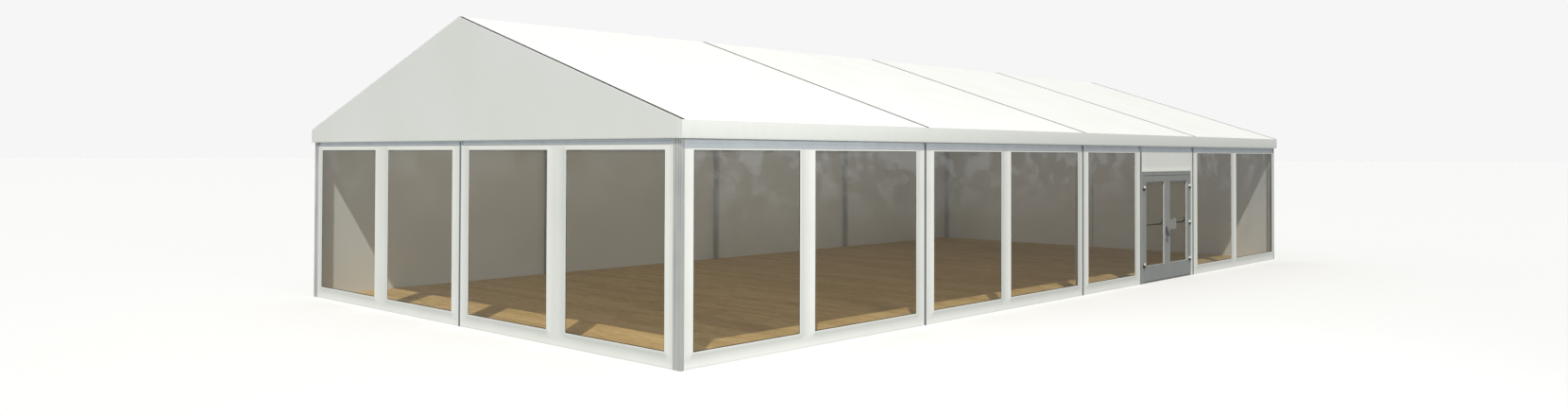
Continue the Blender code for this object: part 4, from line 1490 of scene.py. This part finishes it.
@dataclass
class DoubleDoor(Part):
    """Door frame, two glazed leaves on hinges, push bars, lock case and pull handle."""

    frame: tuple[float, float, float, float] = (2.4853, 4.88, 0.0, 2.277)
    opening: tuple[float, float, float, float] = (2.565, 4.805, 0.02, 2.197)
    frame_depth: float = 0.07
    lip: float = 0.015
    thickness: float = 0.05
    leaf_heights: tuple[float, float] = (0.03, 2.19)
    glass_heights: tuple[float, float] = (0.345, 2.065)
    hinge_reach: float = 0.020
    knuckle: float = 0.018
    knuckle_height: float = 0.045
    bar_height: float = 1.166
    bar_radius: float = 0.016
    bar_bend: float = 0.022
    handle_middle: float = 3.6115
    paddle_reach: float = 0.060
    paddle_drop: float = 0.205

    def build(self) -> None:
        """Build the frame, then each leaf with what it carries."""
        self.build_frame()
        self.build_leaf("left", (2.571, 3.680), (2.686, 3.545))
        self.build_leaf("right", (3.690, 4.799), (3.825, 4.684))
        self.build_hinges("left", self.opening[0], (0.37, 1.94))
        self.build_hinges("right", self.opening[1], (0.37, 1.156, 1.94))
        self.build_bar("left", (2.6285, 3.6125), (True, True))
        self.build_bar("right", (4.2506, 4.7415), (False, True))
        self.build_lock()
        self.build_handle()

    def build_frame(self) -> None:
        """Build jambs, head and threshold as one mitred ring with a stop lip, and its seal."""
        out = self.hall.half_span
        back = out - self.frame_depth
        outer, inner, lip = self.frame, self.opening, self.lip
        section = [(outer, 0.0, back + 0.002), (outer, 0.0, out - 0.002), (outer, -0.002, out),
                   (outer, -0.018, out), (outer, -0.020, out - 0.003), (outer, -0.026, out - 0.003),
                   (outer, -0.028, out), (inner, 0.002, out), (inner, 0.0, out - 0.002),
                   (inner, 0.0, back + 0.012), (inner, -lip, back + 0.011),
                   (inner, -lip, back + 0.001), (inner, -lip + 0.001, back), (outer, -0.002, back)]
        make_piece("door_casing", picture_frame(section, 0.0), self.finishes.door,
                   ["door_frame"])
        seal = [(inner, -0.003, back + 0.0125), (inner, -0.003, back + 0.0185),
                (inner, -0.009, back + 0.0185), (inner, -0.009, back + 0.0125)]
        make_piece("door_stop_seal", picture_frame(seal, 0.0), self.finishes.seal)

    def build_leaf(self, name: str, edges: tuple[float, float], glass: tuple[float, float]) -> None:
        """Build one leaf: mitred stiles and rails, its glazing bead, glass seals and pane.

        Args:
            name: left or right.
            edges: Near and far y of the leaf.
            glass: Near and far y of the glass.
        """
        out = self.hall.half_span
        back = out - self.thickness
        front = back + 0.009
        body = f"{name}_leaf"
        outer, inner = (*edges, *self.leaf_heights), (*glass, *self.glass_heights)
        section = [(outer, 0.0, back + 0.002), (outer, 0.0, out - 0.002), (outer, -0.002, out),
                   (inner, 0.022, out), (inner, 0.0215, out - 0.002), (inner, 0.019, out - 0.002),
                   (inner, 0.0185, out), (inner, 0.0015, out), (inner, 0.0, out - 0.0015),
                   (inner, 0.0, front + 0.006), (inner, -0.004, front + 0.004),
                   (inner, -0.005, front + 0.0003), (inner, 0.0, front + 0.0003),
                   (inner, 0.0, back + 0.002), (inner, 0.002, back), (outer, -0.002, back)]
        make_piece(f"leaf_frame_{name}", picture_frame(section), self.finishes.door,
                   [f"door_leaf_{name}"], body)
        bead = [(inner, 0.0002, out - 0.0018), (inner, -0.0018, out - 0.004),
                (inner, -0.0018, front + 0.0066), (inner, 0.0002, front + 0.0066)]
        make_piece(f"glazing_bead_{name}", picture_frame(bead), self.finishes.bead,
                   body=body)
        seals = [[(inner, -0.0052, front + 0.0003), (inner, -0.0052, front + 0.0028),
                  (inner, -0.0072, front + 0.0018), (inner, -0.0078, front + 0.0003)],
                 [(inner, -0.0004, back + 0.0027), (inner, -0.0068, back + 0.0027),
                  (inner, -0.0058, back + 0.0008), (inner, -0.0004, back + 0.0004)]]
        make_piece(f"glass_seal_{name}", joined([picture_frame(seal) for seal in seals]),
                   self.finishes.seal, body=body)
        near, far, foot, head = np.array(inner) + np.array([1, -1, 1, -1]) * 0.001
        outline = eased([(near, foot), (far, foot), (far, head), (near, head)], 0.004, 3)
        make_piece(f"door_pane_{name}", straight(outline, 0, (front - 0.006, front)),
                   self.finishes.glass, [f"door_glass_{name}"], body, 0.0006)

    def build_hinges(self, name: str, line: float, heights: Sequence[float]) -> None:
        """Build the hinges of one leaf: the lower halves on the frame, the upper on the leaf. The
        lower halves take the black seal finish as painted shade under each knuckle, and the upper
        ones the white fascia finish as a painted highlight.

        Args:
            name: left or right.
            line: Place of the hinge line along Y.
            heights: Middle of each hinge.
        """
        away = -1 if name == "left" else 1
        face = self.hall.half_span
        r, h = self.knuckle, self.knuckle_height
        bottom = [(r * 0.55, 0.0), (r - 0.0025, 0.0), (r - 0.0006, 0.0015), (r, 0.004)]
        # Black lower halves are painted shade, white upper halves a painted highlight on the
        # knuckles
        halves = (("lower", "hall", self.finishes.seal, away, -h, 0.0),
                  ("upper", f"{name}_leaf", self.finishes.fascia, -away, 0.0, h))
        for half, body, finish, side, low, high in halves:
            near, far = sorted((line + side * 0.006, line + side * 0.048))
            shells = []
            for middle in heights:
                foot, head = middle + low + 0.0004, middle + high - 0.0004
                barrel = mirrored(bottom, 1, (head - foot) / 2)
                shells += [turned(barrel, (face + self.hinge_reach, line, foot), 2, 20),
                           block((face - 0.001, near, foot + 0.001),
                                 (face + 0.006, far, head - 0.001), 0.004, 0)]
                shells += [turned([(0.0048, 0.0), (0.0048, 0.0008), (0.003, 0.0018)],
                                  (face + 0.006, line + side * screw, (foot + head) / 2))
                           for screw in (0.028, 0.040)]
            make_piece(f"hinges_{name}_{half}", joined(shells), finish, body=body)

    def build_bar(self, name: str, span: tuple[float, float], arms: tuple[bool, bool]) -> None:
        """Build a push bar that bends up into an arm at each end, and its pivot housings.

        The bar runs along Y. Each end bends through a quarter turn a, at
        reach (1 - sin a) along the arm and reach (1 - cos a) along Y, and goes on to the pivot.

        Args:
            name: left or right.
            span: Near and far y of the bar.
            arms: Whether the near and the far end have a housing on the leaf.
        """
        inside = self.hall.half_span - self.thickness
        near, far = span[0] + 0.006, span[1] - 0.006
        start = np.array([inside - 0.065, near, self.bar_height])
        pivot = np.array([inside - 0.024, near, self.bar_height + 0.055])
        lean = (pivot - start) / np.linalg.norm(pivot - start)
        turn = np.linspace(0.0, math.pi / 2, 7)[1:, None]
        reach, sideways = self.bar_bend, np.array([0.0, 1.0, 0.0])
        bend = start + reach * ((1 - np.sin(turn)) * lean + (1 - np.cos(turn)) * sideways)
        half = [pivot, start + lean * reach * 1.6, start + lean * reach, *bend]
        radius = np.array([0.008, 0.009, 0.009, 0.0105] + [self.bar_radius] * (len(half) - 4))
        bar = bent_tube(mirrored(half, 1, (near + far) / 2), np.concatenate([radius, radius[::-1]]))
        make_piece(f"panic_bar_{name}", bar, self.finishes.dark,
                   [f"push_bar_{name}"], f"{name}_bar")
        pivot_x, _, pivot_z = pivot
        shells = []
        for wanted, low in zip(arms, (span[0] - 0.0306, span[1] + 0.0006)):
            if wanted:
                shells += [block((inside - 0.048, low, pivot_z - 0.055),
                                 (inside + 0.001, low + 0.03, pivot_z + 0.055), 0.008, 0),
                           turned([(0.007, 0.0), (0.007, 0.0306), (0.005, 0.032)],
                                  (pivot_x, low - 0.0005, pivot_z), 1, 16)]
        make_piece(f"bar_housings_{name}", joined(shells), self.finishes.door,
                   body=f"{name}_leaf", bevel=0.0015)

    def build_lock(self) -> None:
        """Build the rim lock inside the right leaf, with its ear, cover screws and thumb turn."""
        inside = self.hall.half_span - self.thickness - SEAT
        front = inside - 0.035
        shells = [block((inside - 0.022, 3.70, 1.04), (inside, 4.012, 1.17), 0.003, 1),
                  block((front, 4.01, 1.04), (inside + 0.0001, 4.25, 1.25), 0.010, 0),
                  block((inside - 0.0477, 4.22, 1.166), (inside - 0.02, 4.2497, 1.276), 0.006, 0),
                  turned([(0.016, 0.0), (0.016, -0.004), (0.012, -0.006), (0.012, -0.012),
                          (0.010, -0.0125)], (front, 4.13, 1.19), 0, 24)]
        shells += [turned([(0.006, 0.0), (0.006, -0.0012), (0.004, -0.002)], (front, y, z))
                   for y, z in ((4.03, 1.06), (4.23, 1.06), (4.03, 1.23), (4.20, 1.23))]
        make_piece("rim_lock", joined(shells), self.finishes.lock, ["lock_case"],
                   "right_leaf", 0.0015)

    def build_handle(self) -> None:
        """Build the pull handle: a plate, and a paddle that slopes outwards and down from it.

        The paddle's section is a rounded slab whose width grows from the plate to its foot.
        """
        face = self.hall.half_span + SEAT
        plate = straight(eased([(3.555, 0.87), (3.668, 0.87), (3.668, 1.13), (3.555, 1.13)], 0.012,
                               5), 0, (face, face + 0.006))
        share = np.linspace(0.0, 1.0, 9)[:, None]
        across, through = eased([(-1.0, -1.0), (1.0, -1.0), (1.0, 1.0), (-1.0, 1.0)], 0.35, 4).T
        thick = 0.009 - 0.001 * share
        lean_x, lean_z = 0.94, 0.34
        rings = np.stack([
            face + 0.003 + share * self.paddle_reach + lean_x * thick * through,
            self.handle_middle + (0.026 + 0.042 * share) * across,
            1.125 - share * self.paddle_drop + lean_z * thick * through], -1)
        screws = [turned([(0.005, 0.0), (0.005, 0.001), (0.003, 0.0018)], (face + 0.006, y, z))
                  for y in (3.572, 3.651) for z in (0.888, 1.112)]
        make_piece("pull_plate", joined([plate, *screws]), self.finishes.lock,
                   body="left_leaf", bevel=0.001)
        make_piece("pull_paddle", tube(rings), self.finishes.handle,
                   ["pull_handle"], "left_leaf", 0.001)


# The studio


@dataclass(frozen=True)
class Softbox:
    """A rectangular light: its place, the way it shines, power, colour, size and spread."""

    name: str
    place: tuple[float, float, float]
    way: tuple[float, float, float]
    power: float
    colour: str
    size: tuple[float, float]
    spread: float = 180.0


@dataclass
class Studio:
    """A plain pale floor, soft studio light and the camera at the photograph's angle."""

    place: tuple[float, float, float] = (14.942, -18.8365, 2.6048)
    yaw: float = math.radians(43.0239)
    tilt: float = math.radians(0.8657)
    roll: float = math.radians(0.1698)
    lens: float = 25.2559
    shift_y: float = -0.04461
    sun_place: tuple[float, float, float] = (20.0, -24.0, 40.0)
    sun_way: tuple[float, float, float] = (-0.488, 0.578, -1.0)
    sun_strength: float = 2.85
    softboxes: tuple[Softbox, ...] = (
        Softbox("corner softbox", (15.0, -11.0, 5.0), (-10.0, 3.0, -3.0), 225.0, "ffffff",
                (3.0, 2.0), 120.0),
        Softbox("ceiling softbox", (0.0, -1.5, 3.05), (0.0, 0.0, -1.0), 68.0, "f5f9f5",
                (9.4, 16.0)),
        Softbox("wall softbox", (-1.0, 0.0, 1.6), (-1.0, 0.0, 0.0), 14.0, "fff9f0",
                (19.0, 2.4), 80.0),
        Softbox("end softbox", (-1.2, 7.6, 1.6), (0.0, 1.0, 0.0), 8.0, "fff6ee",
                (6.5, 2.2), 140.0))

    def build(self) -> None:
        """Build camera, lights, floor and surroundings."""
        self.build_camera()
        self.build_lights()
        self.build_floor()
        self.build_world()
        bpy.context.scene.view_settings.view_transform = "Standard"

    def build_camera(self) -> None:
        """Aim the camera: forward from yaw and tilt, then right and up turned by the roll."""
        forward = Vector((-math.sin(self.yaw) * math.cos(self.tilt),
                          math.cos(self.yaw) * math.cos(self.tilt), math.sin(self.tilt)))
        right = forward.cross(Vector((0.0, 0.0, 1.0))).normalized()
        up = right.cross(forward)
        turned_right = math.cos(self.roll) * right + math.sin(self.roll) * up
        turned_up = -math.sin(self.roll) * right + math.cos(self.roll) * up
        data = bpy.data.cameras.new("camera")
        data.sensor_width = 36.0
        data.lens = self.lens
        data.shift_y = self.shift_y
        data.clip_end = 2000.0
        camera = bpy.data.objects.new("camera", data)
        bpy.context.scene.collection.objects.link(camera)
        turn = Matrix((turned_right, turned_up, -forward)).transposed().to_4x4()
        camera.matrix_world = Matrix.Translation(self.place) @ turn
        bpy.context.scene.camera = camera

    def add_light(self, data: bpy.types.Light, power: float, colour: str, place: Sequence[float],
                  way: Sequence[float]) -> None:
        """Put up a light that shines one way.

        Args:
            data: The light.
            power: Its strength.
            colour: Its colour in hex.
            place: Where it is.
            way: The way it shines.
        """
        data.energy = power
        data.color = linear(colour)[:3]
        light = bpy.data.objects.new(data.name, data)
        bpy.context.scene.collection.objects.link(light)
        light.location = place
        light.rotation_mode = "QUATERNION"
        light.rotation_quaternion = Vector(way).to_track_quat("-Z", "Y")
        light.visible_camera = False
        light.visible_glossy = data.type == "SUN"

    def build_lights(self) -> None:
        """Add a slightly warm sun, a softbox by the near corner, and three inside the tent."""
        sun = bpy.data.lights.new("sun", "SUN")
        sun.angle = math.radians(0.9)
        self.add_light(sun, self.sun_strength, "fffbf3", self.sun_place, self.sun_way)
        for box in self.softboxes:
            data = bpy.data.lights.new(box.name, "AREA")
            data.shape = "RECTANGLE"
            data.size, data.size_y = box.size
            data.spread = math.radians(box.spread)
            self.add_light(data, box.power, box.colour, box.place, box.way)

    def build_floor(self) -> None:
        """Lay a very large pale floor. It throws no light back, as a dull studio cloth would."""
        lines = np.linspace(-600.0, 600.0, 9)
        x, y = np.meshgrid(lines, lines, indexing="ij")
        mesh = bpy.data.meshes.new("studio_floor")
        mesh.from_pydata(np.stack([x, y, 0.0 * x - 0.001], -1).reshape(-1, 3).tolist(), [],
                         grid_cells(np.arange(x.size).reshape(x.shape)).tolist())
        mesh.materials.append(PowderCoat("studio floor", "e8e8e7", 0.9, shade="e7e7e6").make())
        floor = bpy.data.objects.new("studio_floor", mesh)
        bpy.context.scene.collection.objects.link(floor)
        floor.visible_diffuse = False
        floor.visible_glossy = False

    def build_world(self) -> None:
        """Light softly from all round, and show a near-white backdrop behind the tent.

        The light is strongest from below, as from a pale floor, and from overhead. Its strength is
        1 - 0.22 x - 0.14 y in the direction (x, y, z).
        """
        world = bpy.data.worlds.new("studio")
        world.use_nodes = True
        bpy.context.scene.world = world
        world.node_tree.nodes.clear()
        graph = Graph(world.node_tree)
        where = graph.add("TexCoord").outputs["Generated"]
        height = graph.add("SeparateXYZ", {0: where}).outputs[2]
        ramp = graph.ramp(graph.map(height, -1.0, 1.0),
                          (0.46, "c8cac9"), (1.0, "ccd0d6"), (0.54, "989ba1"))
        lean = graph.add("VectorMath", {0: where, 1: (-0.22, -0.14, 0.0)}, operation="DOT_PRODUCT")
        strength = graph.math("ADD", lean.outputs["Value"], 1.0)
        soft = graph.add("Background", {0: ramp, 1: strength}).outputs[0]
        backdrop = graph.add("Background", {0: linear("f6f6f6"), 1: 1.0}).outputs[0]
        seen = graph.add("LightPath").outputs["Is Camera Ray"]
        mixed = graph.add("MixShader", {0: seen, 1: soft, 2: backdrop}).outputs[0]
        graph.add("OutputWorld", {0: mixed})


def main() -> None:
    """Build the studio and every piece of the tent, in order."""
    logging.basicConfig(level=logging.INFO, format="%(name)s %(message)s")
    Studio().build()
    finishes = Finishes()
    hall = Hall()
    for part in (TimberFloor, PortalFrames, Rails, GableEnds, RoofCovers, Fascias, Walls,
                 DoorSurround, DoubleDoor):
        part(hall, finishes).build()


if __name__ == "__main__":
    main()
